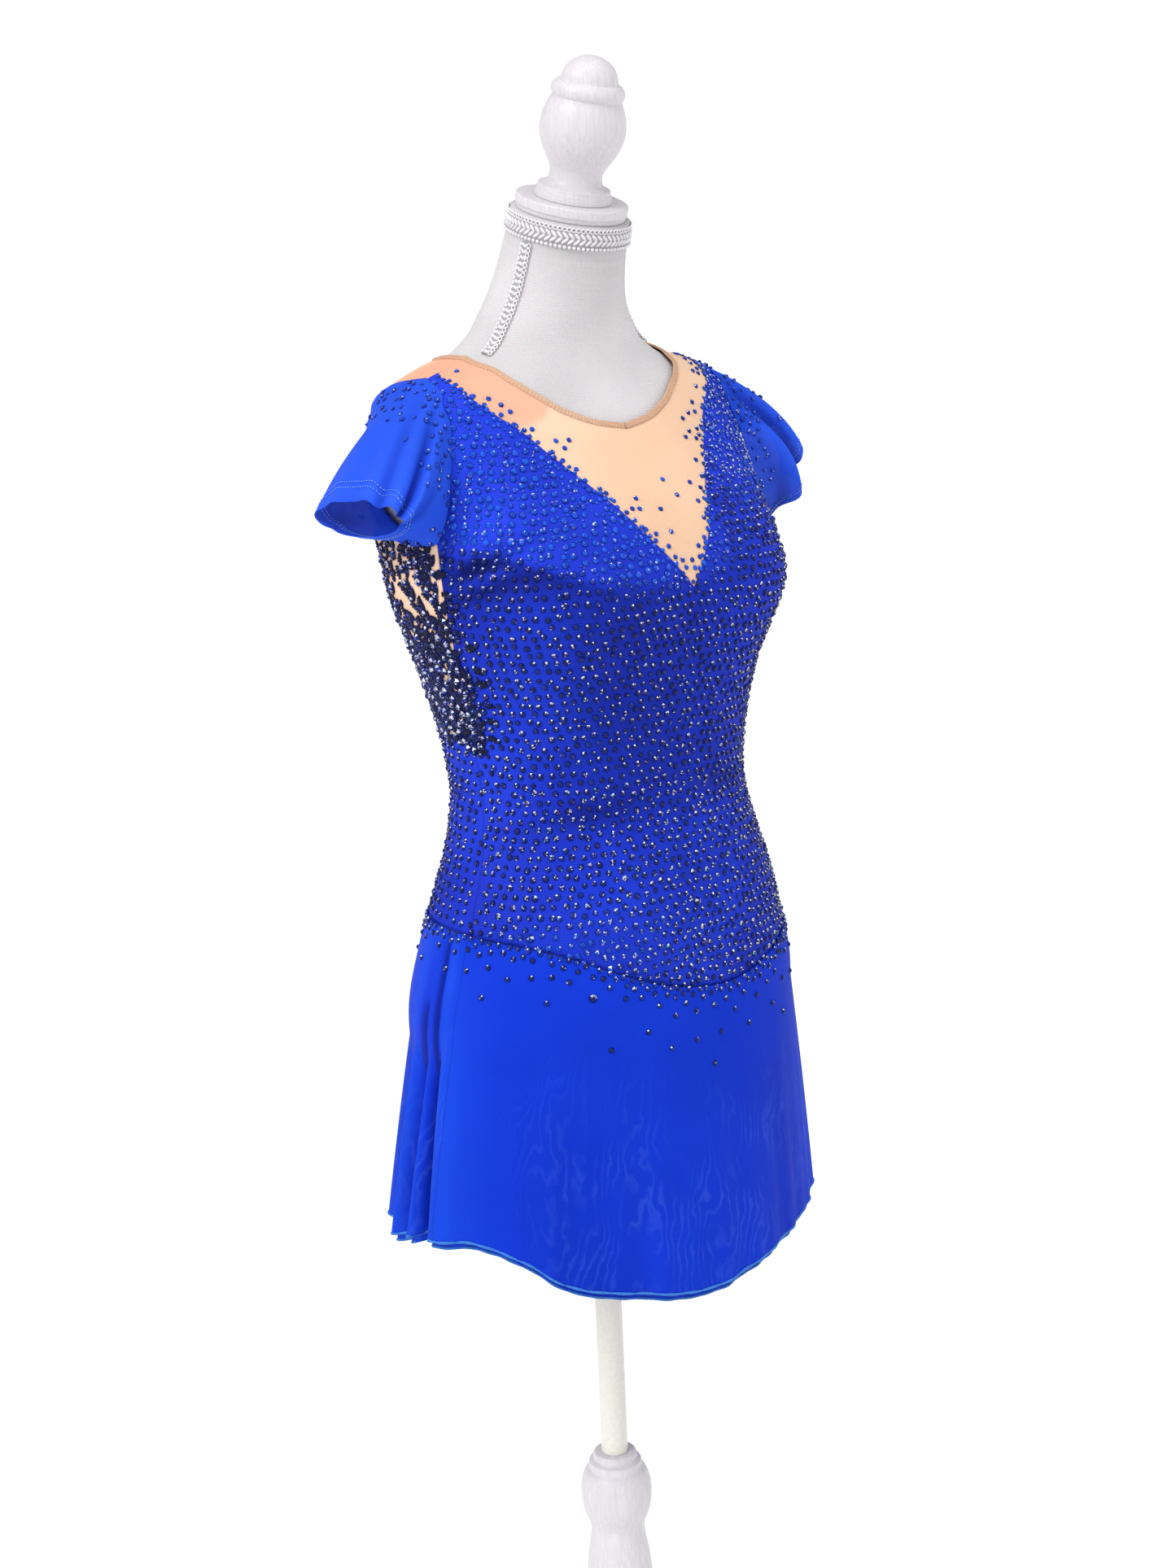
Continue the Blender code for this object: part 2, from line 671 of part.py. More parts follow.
def sleeve_object(name, side, material):
    """Cap sleeve, all round the arm: each line out from the armhole bends over once to the hem."""
    steps = 24
    rows = 8
    share = np.linspace(0.0, 1.0, 60)
    front = along(ARMHOLE_FRONT, share)
    back = along(ARMHOLE_BACK, share[::-1])
    height = np.concatenate([front[0], back[0][1:]])
    angle = np.concatenate([front[1], back[1][1:]])
    lift = cloth_gap(height) + WALL + SEAM_GAP + SLEEVE_WALL + SLEEVE_CLEARANCE
    loop = out_from_body(height, angle, lift)
    loop_turn = np.arctan2(-(loop[:, 1] - ARM_BACK), -(loop[:, 2] - ARM_HEIGHT)) % (2.0 * np.pi)
    turn = np.linspace(0.0, 2.0 * np.pi, steps, endpoint=False)
    order = np.argsort(loop_turn)
    start = np.stack(
        [np.interp(turn, loop_turn[order], loop[order, k], period=2.0 * np.pi) for k in range(3)],
        axis=-1,
    )
    bend = sleeve_loop(SLEEVE_BEND, side, turn)
    hem = sleeve_loop(SLEEVE_HEM, side, turn)
    way = np.linspace(0.0, 1.0, rows)[:, None, None]
    grid = start * (1.0 - way) ** 2 + 2.0 * bend * way * (1.0 - way) + hem * way**2
    # Folds move the cloth out from the arm and a little away from the body.
    away_from_body = 0.35
    outward = np.stack([np.full(steps, away_from_body), -np.sin(turn), -np.cos(turn)], axis=-1)
    outward /= np.linalg.norm(outward, axis=-1, keepdims=True)
    growth = way**1.3
    for fold_turn, width, depth in SLEEVE_FOLDS:
        fold = depth * np.exp(-(((np.degrees(turn) - fold_turn) / width) ** 2))
        grid = grid + outward * fold[:, None] * growth
    grid[..., 0] *= side
    quads = grid_quads(rows, steps, wrap=True)
    return cloth_object(name, grid.reshape(-1, 3), quads, SLEEVE_WALL, 0.0, material)


def skirt_points(angle, rows, layer):
    """Grid of a skirt layer's middle surface, from the drop waist down to the hem.

    Layer 0 is the outer skirt and layer 1 the underskirt inside it.
    """
    outer = 1 - layer
    under_lift = SKIN_GAP + STRETCH_GAP + SKIRT_WALL * 0.5
    lift = under_lift + outer * (SKIRT_WALL + SKIRT_LAYER_GAP)
    inset = UNDERSKIRT_INSET * layer
    top_height = drop_waist_height(angle) - 2.0 * SEAM_GAP - SKIRT_LAYER_GAP * outer
    top = out_from_body(top_height, angle, lift)
    turn = np.radians(angle)
    side = np.sin(turn)
    ahead = np.cos(turn)
    depth = np.where(ahead > 0.0, HEM_FRONT - HEM_FORWARD, HEM_BACK + HEM_FORWARD)
    round_angle = (angle + 180.0) % 360.0 - 180.0
    hem_height = smooth_curve(round_angle, HEM_LINE[:, 0], HEM_LINE[:, 1])
    hem_height = hem_height - UNDERSKIRT_LONGER * layer
    hem_x = side * (HEM_HALF_WIDTH - inset)
    hem_y = -HEM_FORWARD - ahead * (depth - inset)
    way = np.linspace(0.0, 1.0, rows)[:, None] ** SKIRT_ROW_EASE
    # The cloth springs out a little over the hip and then hangs nearly straight.
    spread = way + SKIRT_SPRING * way * (1.0 - way)
    grid = np.empty((rows, len(angle), 3))
    grid[..., 0] = top[:, 0] + (hem_x - top[:, 0]) * spread
    grid[..., 1] = top[:, 1] + (hem_y - top[:, 1]) * spread
    grid[..., 2] = top[:, 2] + (hem_height - top[:, 2]) * way
    out = np.stack([side * HEM_FRONT, -ahead * HEM_HALF_WIDTH], axis=-1)
    out /= np.linalg.norm(out, axis=-1, keepdims=True)
    for fold_angle, width, depth_out, begin, lean in SKIRT_FOLDS:
        middle_angle = fold_angle - np.sign(fold_angle) * lean * (1.0 - way)
        apart = (angle - middle_angle + 180.0) % 360.0 - 180.0
        grow = np.clip((way - begin) / (1.0 - begin), 0.0, 1.0) ** SKIRT_FOLD_EASE
        fold = depth_out * np.exp(-((apart / width) ** 2)) * grow
        grid[..., :2] += out * fold[..., None]
    # Over the hip each layer stays clear of the form, and the outer one of the inner one.
    body_height = np.clip(grid[..., 2], FORM_BOTTOM, NECK_TOP)
    clear = lift + SKIRT_HEM_CLEARANCE * (1 + 2 * outer) * way
    body = out_from_body(body_height, np.broadcast_to(angle, body_height.shape), clear)
    middle = BODY_MIDDLE[:2]
    from_middle = grid[..., :2] - middle
    reach = np.linalg.norm(from_middle, axis=-1)
    least = np.linalg.norm(body[..., :2] - middle, axis=-1)
    push = np.maximum(reach, least) / reach
    grid[..., :2] = middle + from_middle * push[..., None]
    return grid


def skirt_angles(start, end, widest):
    """Angles from start to end: one on the crest of each fold and more between, at most widest apart."""
    crests = np.sort(np.where(SKIRT_FOLDS[:, 0] < start, SKIRT_FOLDS[:, 0] + 360.0, SKIRT_FOLDS[:, 0]))
    knots = np.concatenate([[start], crests[(crests > start) & (crests < end)], [end]])
    parts = np.maximum(np.ceil(np.diff(knots) / widest).astype(int), 2)
    runs = [np.linspace(knots[k], knots[k + 1], parts[k], endpoint=False) for k in range(len(parts))]
    return np.concatenate([*runs, [end]])


def skirt_object(name, start, end, widest, layer, material):
    angle = skirt_angles(start, end, widest)
    grid = skirt_points(angle, SKIRT_ROWS, layer)
    quads = grid_quads(SKIRT_ROWS, len(angle))
    return cloth_object(name, grid.reshape(-1, 3), quads, SKIRT_WALL, 0.0, material)


def lace_object(name, side, material):
    """Side lace below the armhole: bars that cross, with leaf-shaped gaps cut through between them."""
    rows = 16
    columns = 10
    way = np.linspace(0.0, 1.0, rows)[:, None]
    across = np.linspace(-1.0, 1.0, columns)[None, :]
    scallop = 0.004 * across**2 * np.sin(6.0 * np.pi * way)
    height = LACE_TOP - LACE_LENGTH * way + scallop
    middle = LACE_ANGLE - LACE_LEAN * way
    half_width = LACE_HALF_ANGLE - LACE_NARROWING * way + LACE_WAVE * np.sin(2.0 * np.pi * way)
    sway = LACE_BAR_SWAY * (-1.0) ** np.arange(columns) * np.sin(6.5 * np.pi * way)
    angle = middle - half_width * across + sway
    keep = np.ones((rows - 1, columns - 1), bool)
    # Gaps lie two rows apart in the middle and four apart near the sides; notches shape the petals.
    keep[1:-1:2, 4] = False
    keep[1:-1:4, [2, 6]] = False
    keep[3:-1:4, [1, 7]] = False
    keep[1:-1:4, [0, 8]] = False
    height = np.broadcast_to(height, angle.shape)
    gap = cloth_gap(height) + WALL + SEAM_GAP + LACE_CLEARANCE
    points = out_from_body(height, angle * side, gap).reshape(-1, 3)
    quads = grid_quads(rows, columns)[keep.reshape(-1)]
    used, quads = np.unique(quads, return_inverse=True)
    return cloth_object(name, points[used], quads.reshape(-1, 4), LACE_WALL, 1.0, material)


def turned(name, profile, material, steps=TURN_STEPS):
    """Turned solid round its own +Z. Its profile is closed on the axis at both ends."""
    outline = [(0.0, profile[0][1])] + [tuple(row) for row in profile if row[0] > 0.0]
    outline.append((0.0, profile[-1][1]))
    points = np.array([(radius, 0.0, height) for radius, height in reversed(outline)])
    mesh = bpy.data.meshes.new(name)
    mesh.from_pydata(points.tolist(), [(k, k + 1) for k in range(len(points) - 1)], [])
    obj = bpy.data.objects.new(name, mesh)
    obj.data.materials.append(material)
    screw = obj.modifiers.new("turned", "SCREW")
    screw.steps = steps
    screw.render_steps = steps
    screw.use_merge_vertices = True
    screw.merge_threshold = 0.00001
    screw.use_smooth_shade = True
    screw.show_render = screw.show_viewport
    return obj


def form_object(material):
    """The dress form: rings of the body from the bottom plate up to the top of the neck."""
    steps = 32
    heights = []
    for low, high in zip(RINGS[:-1, 0], RINGS[1:, 0]):
        parts = 2 if high - low > 0.045 or 1.32 < low < 1.40 else 1
        if 1.339 < low < 1.38:
            parts = 3
        heights += list(np.linspace(low, high, parts, endpoint=False))
    heights.append(NECK_TOP)
    heights = np.array(heights)
    angle = np.linspace(0.0, 360.0, steps, endpoint=False)
    grid = body_point(heights[:, None], angle[None, :])
    middle = BODY_MIDDLE[:2]
    base = []
    for drop, share in FORM_BASE:
        ring = grid[0].copy()
        ring[:, 2] -= drop
        ring[:, :2] = middle + (ring[:, :2] - middle) * share
        base.append(ring)
    grid = np.concatenate([np.array(base), grid])
    rows = len(grid)
    points = np.concatenate([
        grid.reshape(-1, 3),
        grid[0].mean(axis=0)[None],
        grid[-1].mean(axis=0)[None],
    ])
    faces = grid_quads(rows, steps, wrap=True).tolist()
    for k in range(steps):
        n = (k + 1) % steps
        faces.append([rows * steps, n, k])
        faces.append([rows * steps + 1, (rows - 1) * steps + k, (rows - 1) * steps + n])
    return add_object("form_torso", points, faces, material)


def braid_object(name, height, angle, wrap, material):
    """Braid over the form: a flat sheet one wall thick, drawn out along its middle."""
    middle = np.zeros(3)
    middle[1] = 1.0
    along_rows = len(height) == 3
    bulge = middle[:, None] if along_rows else middle[None, :]
    gap = SKIN_GAP + BRAID_BULGE * bulge + 0.0 * height
    points = out_from_body(height, angle, gap)
    quads = grid_quads(height.shape[0], height.shape[1], wrap=wrap)
    return cloth_object(name, points.reshape(-1, 3), quads, BRAID_WALL, 1.0, material)


def neck_braid_object(material):
    """Braid band round the top of the neck."""
    angle = np.linspace(0.0, 360.0, 32, endpoint=False)[None, :]
    height = np.linspace(NECK_BRAID_BOTTOM, NECK_BRAID_TOP, 3)[:, None]
    height, angle = np.broadcast_arrays(height, angle)
    return braid_object("neck_braid", height, angle, True, material)


def side_braid_object(name, side, material):
    """Braid that runs from the neck band down the side of the neck to the shoulder."""
    way = np.linspace(0.0, 1.0, 11)[:, None]
    across = np.linspace(-1.0, 1.0, 3)[None, :]
    height = SIDE_BRAID_TOP - (SIDE_BRAID_TOP - SIDE_BRAID_END) * way + 0.0 * across
    radius = np.interp(height, RINGS[:, 0], RINGS[:, 2])
    half_angle = np.degrees(SIDE_BRAID_HALF_WIDTH / radius)
    angle = SIDE_BRAID_ANGLE - SIDE_BRAID_LEAN * way + across * half_angle
    return braid_object(name, height, angle * side, False, material)


def make_material(name, colour, roughness, metallic=0.0):
    material = bpy.data.materials.new(name)
    material.use_nodes = True
    shader = material.node_tree.nodes["Principled BSDF"]
    shader.inputs["Base Color"].default_value = (*colour, 1.0)
    shader.inputs["Roughness"].default_value = roughness
    shader.inputs["Metallic"].default_value = metallic
    material.diffuse_color = (*colour, 1.0)
    return material


def build():
    for obj in list(bpy.data.objects):
        bpy.data.objects.remove(obj)
    collection = bpy.data.collections.new("skating_dress_on_form")
    bpy.context.scene.collection.children.link(collection)
    root = bpy.data.objects.new("skating_dress_on_form", None)
    collection.objects.link(root)

    jersey = make_material("form_jersey", (0.80, 0.77, 0.74), 0.85)
    braid = make_material("form_braid", (0.82, 0.79, 0.76), 0.65)
    wood = make_material("white_wood", (0.83, 0.82, 0.83), 0.42)
    metal = make_material("white_metal", (0.80, 0.80, 0.78), 0.35)
    blue = make_material("blue_stretch", (0.004, 0.045, 0.66), 0.55)
    blue_mesh = make_material("blue_mesh", (0.005, 0.060, 0.76), 0.60)
    nude = make_material("nude_mesh", (0.80, 0.47, 0.29), 0.60)
    nude_binding = make_material("nude_binding", (0.66, 0.34, 0.20), 0.60)
    navy = make_material("navy_lace", (0.008, 0.012, 0.070), 0.45)

    front_end = SKIRT_SEAM - SKIRT_SEAM_TURN
    back_start = SKIRT_SEAM + SKIRT_SEAM_TURN
    back_end = 360.0 - back_start
    pole_profile = [
        (POLE_RADIUS, COLUMN_TOP + SEAM_GAP),
        (POLE_RADIUS, FORM_BOTTOM - FORM_BASE[0][0] - SEAM_GAP),
    ]
    parts = [
        form_object(jersey),
        neck_braid_object(braid),
        side_braid_object("side_braid_right", -1.0, braid),
        side_braid_object("side_braid_left", 1.0, braid),
        on_body_cloth("bodice_front", bodice_front_grids(), blue),
        on_body_cloth("bodice_back", bodice_back_grid(), blue),
        on_body_cloth("yoke_front", yoke_front_grids(), nude),
        on_body_cloth("yoke_back", yoke_back_grids(), nude),
        binding_object(nude_binding),
        sleeve_object("sleeve_right", -1.0, blue_mesh),
        sleeve_object("sleeve_left", 1.0, blue_mesh),
        skirt_object("skirt_front", -front_end, front_end, SKIRT_FRONT_STEP, 0, blue_mesh),
        skirt_object("skirt_back", back_start, back_end, SKIRT_BACK_STEP, 0, blue_mesh),
        skirt_object("underskirt_front", -front_end, front_end, SKIRT_FRONT_STEP, 1, blue_mesh),
        skirt_object("underskirt_back", back_start, back_end, SKIRT_BACK_STEP, 1, blue_mesh),
        lace_object("lace_right", -1.0, navy),
        lace_object("lace_left", 1.0, navy),
        turned("stand_base", BASE_PROFILE, wood, BASE_STEPS),
        turned("stand_column", COLUMN_PROFILE, wood),
        turned("pole", pole_profile, metal),
        turned("neck_cap", CAP_PROFILE, wood, CAP_STEPS),
        turned("finial", FINIAL_PROFILE, wood),
    ]
    objects = {obj.name: obj for obj in parts}
    for obj in parts:
        collection.objects.link(obj)
        obj.parent = root
    neck_axis = np.array([0.0, -np.sin(np.radians(NECK_TILT)), np.cos(np.radians(NECK_TILT))])
    neck_middle = np.array([0.0, -RINGS[-1, 1], NECK_TOP])
    cap_height = CAP_PROFILE[-1][1]
    objects["neck_cap"].location = neck_middle
    objects["neck_cap"].rotation_euler = (np.radians(NECK_TILT), 0.0, 0.0)
    objects["finial"].location = neck_middle + neck_axis * cap_height
    objects["finial"].rotation_euler = (np.radians(NECK_TILT), 0.0, 0.0)


build()
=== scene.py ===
import math

import bpy
import numpy as np
from mathutils import Matrix, Vector


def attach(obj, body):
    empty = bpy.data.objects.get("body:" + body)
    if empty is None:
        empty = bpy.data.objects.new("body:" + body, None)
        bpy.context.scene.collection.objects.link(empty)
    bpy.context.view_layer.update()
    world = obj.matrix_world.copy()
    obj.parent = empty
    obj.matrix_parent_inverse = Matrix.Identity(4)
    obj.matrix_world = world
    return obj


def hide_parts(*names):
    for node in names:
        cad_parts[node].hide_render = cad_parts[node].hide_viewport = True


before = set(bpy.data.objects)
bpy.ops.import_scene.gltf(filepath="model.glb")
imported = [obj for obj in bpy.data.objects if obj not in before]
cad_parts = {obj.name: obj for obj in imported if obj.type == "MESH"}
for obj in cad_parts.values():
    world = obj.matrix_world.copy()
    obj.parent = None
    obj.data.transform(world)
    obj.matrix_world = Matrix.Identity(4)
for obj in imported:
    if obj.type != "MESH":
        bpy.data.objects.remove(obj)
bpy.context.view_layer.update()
scene = bpy.context.scene
print("frame loaded")


# the body that everything sits on
# each ring: ring height, forward shift, half width, front depth, back depth, forward tilt, squareness
rings = np.array([
    (0.790, 0.012, 0.146, 0.093, 0.095, 0.0, 2.15),
    (0.830, 0.012, 0.157, 0.102, 0.103, 0.0, 2.20),
    (0.880, 0.012, 0.161, 0.106, 0.105, 0.0, 2.25),
    (0.930, 0.012, 0.1495, 0.105, 0.0975, 0.0, 2.30),
    (0.970, 0.0125, 0.1375, 0.1035, 0.0895, 0.0, 2.25),
    (1.005, 0.0125, 0.1255, 0.0980, 0.0835, 0.0, 2.20),
    (1.038, 0.0125, 0.1192, 0.0925, 0.082, 0.0, 2.15),
    (1.078, 0.0140, 0.1205, 0.093, 0.089, 0.0, 2.15),
    (1.120, 0.0140, 0.1290, 0.099, 0.099, 0.0, 2.15),
    (1.160, 0.012, 0.1405, 0.108, 0.107, 0.0, 2.20),
    (1.200, 0.008, 0.1515, 0.116, 0.1140, 0.0, 2.25),
    (1.240, 0.002, 0.1565, 0.109, 0.116, 0.0, 2.22),
    (1.275, -0.004, 0.1585, 0.091, 0.114, 1.0, 2.22),
    (1.303, -0.008, 0.1580, 0.075, 0.105, 2.0, 2.22),
    (1.324, -0.010, 0.1550, 0.064, 0.093, 3.0, 2.20),
    (1.340, -0.011, 0.1465, 0.0565, 0.081, 4.0, 2.25),
    (1.351, -0.011, 0.1255, 0.0525, 0.072, 5.0, 2.15),
    (1.361, -0.011, 0.0980, 0.0505, 0.065, 6.5, 2.05),
    (1.374, -0.0105, 0.0760, 0.0490, 0.059, 9.0, 2.00),
    (1.391, -0.009, 0.0625, 0.0475, 0.0535, 12.0, 2.00),
    (1.412, -0.005, 0.0520, 0.0460, 0.0490, 14.5, 2.00),
    (1.438, 0.002, 0.0463, 0.0446, 0.0460, 16.0, 2.00),
    (1.467, 0.0110, 0.0440, 0.0436, 0.0440, 16.5, 2.00),
])
bust = {"height": 1.192, "angle": 38.0, "out": 0.011, "tall": 0.042, "wide": 24.0}
bodyMiddle = np.array([0.0, -0.012])
neckTop = 1.467
neckTilt = 16.5
formBottom = 0.790

# each edge: share of the way along, ring height, angle from the centre front
vEdge = np.array([
    (0.00, 1.2005, 0.0), (0.20, 1.2350, 10.0), (0.40, 1.2680, 18.0), (0.58, 1.3000, 27.5),
    (0.76, 1.3250, 37.0), (0.88, 1.3420, 50.0), (0.95, 1.3500, 65.0), (1.00, 1.3560, 90.0),
])
neckEdgeFront = np.array([
    (0.00, 1.3130, 0.0), (0.15, 1.3175, 9.0), (0.35, 1.3275, 18.5), (0.57, 1.3415, 28.0),
    (0.75, 1.3525, 42.0), (0.88, 1.3600, 60.0), (1.00, 1.3650, 90.0),
])
neckEdgeBack = np.array([
    (0.00, 1.3650, 90.0), (0.30, 1.3625, 110.0), (0.65, 1.3555, 142.0), (1.00, 1.3520, 180.0),
])
armholeFront = np.array([
    (0.00, 1.2455, 74.0), (0.20, 1.2620, 68.0), (0.42, 1.2900, 62.0), (0.64, 1.3150, 58.5),
    (0.80, 1.3340, 60.0), (0.90, 1.3455, 68.0), (1.00, 1.3515, 90.0),
])
armholeBack = np.array([
    (0.00, 1.2455, 74.0), (0.08, 1.2440, 82.0), (0.16, 1.2450, 91.0), (0.26, 1.2500, 101.0),
    (0.40, 1.2660, 110.0), (0.58, 1.2900, 117.0), (0.74, 1.3150, 120.0), (0.86, 1.3340, 118.0),
    (0.94, 1.3455, 110.0), (1.00, 1.3515, 90.0),
])
lowBackEdge = np.array([
    (0.00, 1.1050, 85.0), (0.30, 1.0920, 112.0), (0.60, 1.0700, 144.0), (1.00, 1.0560, 180.0),
])
# side seam: ring height, angle
sideSeam = np.array([
    (0.8900, 80.5), (1.0000, 81.0), (1.0500, 83.0), (1.1050, 85.0),
    (1.1400, 83.0), (1.1700, 80.0), (1.2000, 77.5), (1.2455, 74.0),
])
skirtSeam = 80.5
# angle, ring height of the drop waist
dropWaist = np.array([
    (-180.0, 0.9520), (-135.0, 0.9540), (-100.0, 0.9540), (-75.0, 0.9520), (-57.0, 0.9485),
    (-42.0, 0.9395), (-28.0, 0.9245), (-17.0, 0.9120), (0.0, 0.8990), (12.0, 0.8955),
    (27.0, 0.9010), (45.0, 0.9110), (70.0, 0.9230), (100.0, 0.9340), (140.0, 0.9460),
    (180.0, 0.9520),
])
# angle, height of the hem
hemLine = np.array([
    (-180.0, 0.712), (-140.0, 0.708), (-107.0, 0.712), (-84.0, 0.727), (-64.0, 0.725),
    (-53.0, 0.711), (-43.0, 0.692), (-25.0, 0.677), (-5.0, 0.664), (12.0, 0.667),
    (36.0, 0.672), (53.0, 0.674), (66.0, 0.678), (84.0, 0.704), (107.0, 0.710),
    (140.0, 0.708), (180.0, 0.712),
])
# skirt folds: angle at the hem, width, depth outwards, where it starts, lean of its top to the front,
# width on the far side
skirtFolds = np.array([
    (30.0, 14.0, -0.0030, 0.35, 0.0, 14.0), (66.0, 9.0, 0.0060, 0.05, 5.0, 5.0),
    (75.0, 6.0, -0.0075, 0.05, 5.0, 6.0), (86.0, 7.0, 0.0080, 0.05, 3.0, 7.0),
    (97.0, 6.5, -0.0110, 0.05, 0.0, 6.5), (108.0, 7.0, 0.0080, 0.10, 0.0, 7.0),
    (120.0, 7.0, -0.0100, 0.12, 0.0, 7.0), (133.0, 7.5, 0.0075, 0.15, 0.0, 7.5),
    (147.0, 8.0, -0.0080, 0.20, 0.0, 8.0), (164.0, 9.0, 0.0050, 0.25, 0.0, 9.0),
    (-36.0, 15.0, -0.0025, 0.40, 0.0, 15.0), (-82.0, 11.0, 0.0110, 0.00, -4.0, 2.6),
    (-87.5, 3.4, -0.0135, 0.00, -3.0, 4.0), (-92.5, 4.0, 0.0100, 0.03, 0.0, 2.8),
    (-98.5, 3.8, -0.0115, 0.04, 0.0, 4.0), (-104.5, 4.5, 0.0080, 0.06, 0.0, 3.6),
    (-114.0, 6.5, -0.0100, 0.10, 0.0, 6.5), (-126.0, 7.0, 0.0045, 0.15, 0.0, 7.0),
    (-140.0, 8.0, -0.0080, 0.20, 0.0, 8.0), (-155.0, 8.5, 0.0060, 0.20, 0.0, 8.5),
    (-171.0, 9.0, -0.0045, 0.25, 0.0, 9.0),
])
cloth = {"skinGap": 0.0009, "stretchGap": 0.0014, "wall": 0.0013, "seamGap": 0.0002, "seamTurn": 0.05,
         "skirtWall": 0.0011}


# angle brought between -180 and 180
def wrapped(angle):
    return (np.asarray(angle, float) + 180.0) % 360.0 - 180.0


def clipped(value):
    return np.clip(value, 0.0, 1.0)


def unit(vectors):
    return vectors / np.maximum(np.linalg.norm(vectors, axis=-1, keepdims=True), 1e-9)


# length run up to each point of a line
def runLength(line):
    return np.concatenate([[0.0], np.cumsum(np.linalg.norm(np.diff(line, axis=0), axis=-1))])


def pointsAt(at, run, values, period=None):
    return np.stack([np.interp(at, run, values[:, k], period=period) for k in range(3)], axis=-1)


# cubic through the knots, its slope at each knot from the two neighbours
def smoothCurve(at, knots, values):
    slopes = np.gradient(values, knots)
    at = np.clip(at, knots[0], knots[-1])
    index = np.clip(np.searchsorted(knots, at, side="right") - 1, 0, len(knots) - 2)
    span = knots[index + 1] - knots[index]
    share = (at - knots[index]) / span
    rise = share * share * (3.0 - 2.0 * share)
    bend = slopes[index] * share * (1.0 - share) ** 2 + slopes[index + 1] * share * share * (share - 1.0)
    return values[index] * (1.0 - rise) + values[index + 1] * rise + bend * span


def along(edge, share):
    return smoothCurve(share, edge[:, 0], edge[:, 1]), smoothCurve(share, edge[:, 0], edge[:, 2])


# squared ellipse round each ring, sheared by its tilt, with two gaussian swells for the bust
def bodyPoint(height, angle):
    forward, halfWidth, front, back, tilt, square = [
        smoothCurve(height, rings[:, 0], rings[:, k]) for k in range(1, 7)
    ]
    turn = np.radians(angle)
    side, ahead = np.sin(turn), np.cos(turn)
    swell = (np.abs(side) ** square + np.abs(ahead) ** square) ** (-1.0 / square)
    depth = np.where(ahead > 0.0, front, back)
    apart = (np.abs(wrapped(angle)) - bust["angle"]) / bust["wide"]
    out = bust["out"] * np.exp(-(((height - bust["height"]) / bust["tall"]) ** 2) - apart**2)
    reach = ahead * (depth * swell + out)
    lean = np.radians(tilt)
    across = side * (halfWidth * swell + out)
    return np.stack([across, -forward - reach * np.cos(lean), height - reach * np.sin(lean)], axis=-1)


# unit normal from the cross product of steps round and up the surface
def bodyNormal(height, angle):
    up = bodyPoint(height + 0.0004, angle) - bodyPoint(height - 0.0004, angle)
    way = bodyPoint(height, angle + 0.2) - bodyPoint(height, angle - 0.2)
    return unit(np.cross(way, up))


def outFromBody(height, angle, out):
    height, angle = np.broadcast_arrays(np.asarray(height, float), np.asarray(angle, float))
    return bodyPoint(height, angle) + bodyNormal(height, angle) * np.asarray(out)[..., None]


# gap between form and cloth, closing to the skin gap over the last 10 mm below the neck
def clothGap(height):
    rise = clipped((neckEdgeFront[-1, 1] - np.asarray(height, float)) / 0.010)
    return cloth["skinGap"] + cloth["stretchGap"] * rise


def dropWaistHeight(angle):
    return smoothCurve(wrapped(angle), dropWaist[:, 0], dropWaist[:, 1])


def sideSeamAngle(height):
    return smoothCurve(height, sideSeam[:, 0], sideSeam[:, 1])


# mesh helpers
# quads between the rows and columns of a grid; wrap joins the last column to the first, tube the last row
def gridFaces(rows, columns, wrap=False, start=0, tube=False):
    n = start + np.arange(rows * columns).reshape(rows, columns)
    if wrap:
        n = np.concatenate([n, n[:, :1]], axis=1)
    if tube:
        n = np.concatenate([n, n[:1]])
    return np.stack([n[:-1, :-1], n[:-1, 1:], n[1:, 1:], n[1:, :-1]], axis=-1).reshape(-1, 4)


# triangles that close both ends of a tube of rings; its two middle points come after the rings
def tubeCaps(rows, steps):
    n = np.arange(steps)
    m = (n + 1) % steps
    middle, last = np.full(steps, rows * steps), (rows - 1) * steps
    ends = (middle, m, n), (middle + 1, last + n, last + m)
    return np.concatenate([np.stack(end, axis=-1) for end in ends])


# mesh from one array of points and one or more arrays of faces, each with its own corner count
def makeMesh(name, points, faceArrays, uv=None, smooth=True):
    mesh = bpy.data.meshes.new(name)
    points = np.asarray(points, np.float32).reshape(-1, 3)
    faceArrays = [np.asarray(faces, np.int32) for faces in faceArrays if len(faces)]
    corners = np.concatenate([faces.reshape(-1) for faces in faceArrays])
    sizes = np.concatenate([np.full(len(faces), faces.shape[1], np.int32) for faces in faceArrays])
    mesh.vertices.add(len(points))
    mesh.vertices.foreach_set("co", points.reshape(-1))
    mesh.loops.add(len(corners))
    mesh.loops.foreach_set("vertex_index", corners)
    mesh.polygons.add(len(sizes))
    mesh.polygons.foreach_set("loop_start", np.concatenate([[0], np.cumsum(sizes)[:-1]]).astype(np.int32))
    mesh.update(calc_edges=True)
    if uv is not None:
        layer = mesh.uv_layers.new(name="cloth")
        layer.data.foreach_set("uv", np.asarray(uv, np.float32).reshape(-1, 2)[corners].reshape(-1))
    mesh.validate()
    if smooth:
        mesh.shade_smooth()
    return mesh


def addPiece(name, mesh, material, slotName, *nodes):
    piece = bpy.data.objects.new(name, mesh)
    scene.collection.objects.link(piece)
    piece.data.materials.append(material)
    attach(piece, "root")
    if nodes:
        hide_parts(*nodes)
    return piece


# merges points of a welded seam between the grids of one piece
def weldPoints(points, faces):
    key = np.round(points / 2e-6).astype(np.int64)
    _, first, index = np.unique(key, axis=0, return_index=True, return_inverse=True)
    return first, index.reshape(-1)[faces]


def addWall(piece, thick, offset=0.0):
    solid = piece.modifiers.new("wall", "SOLIDIFY")
    solid.thickness = thick
    solid.offset = offset


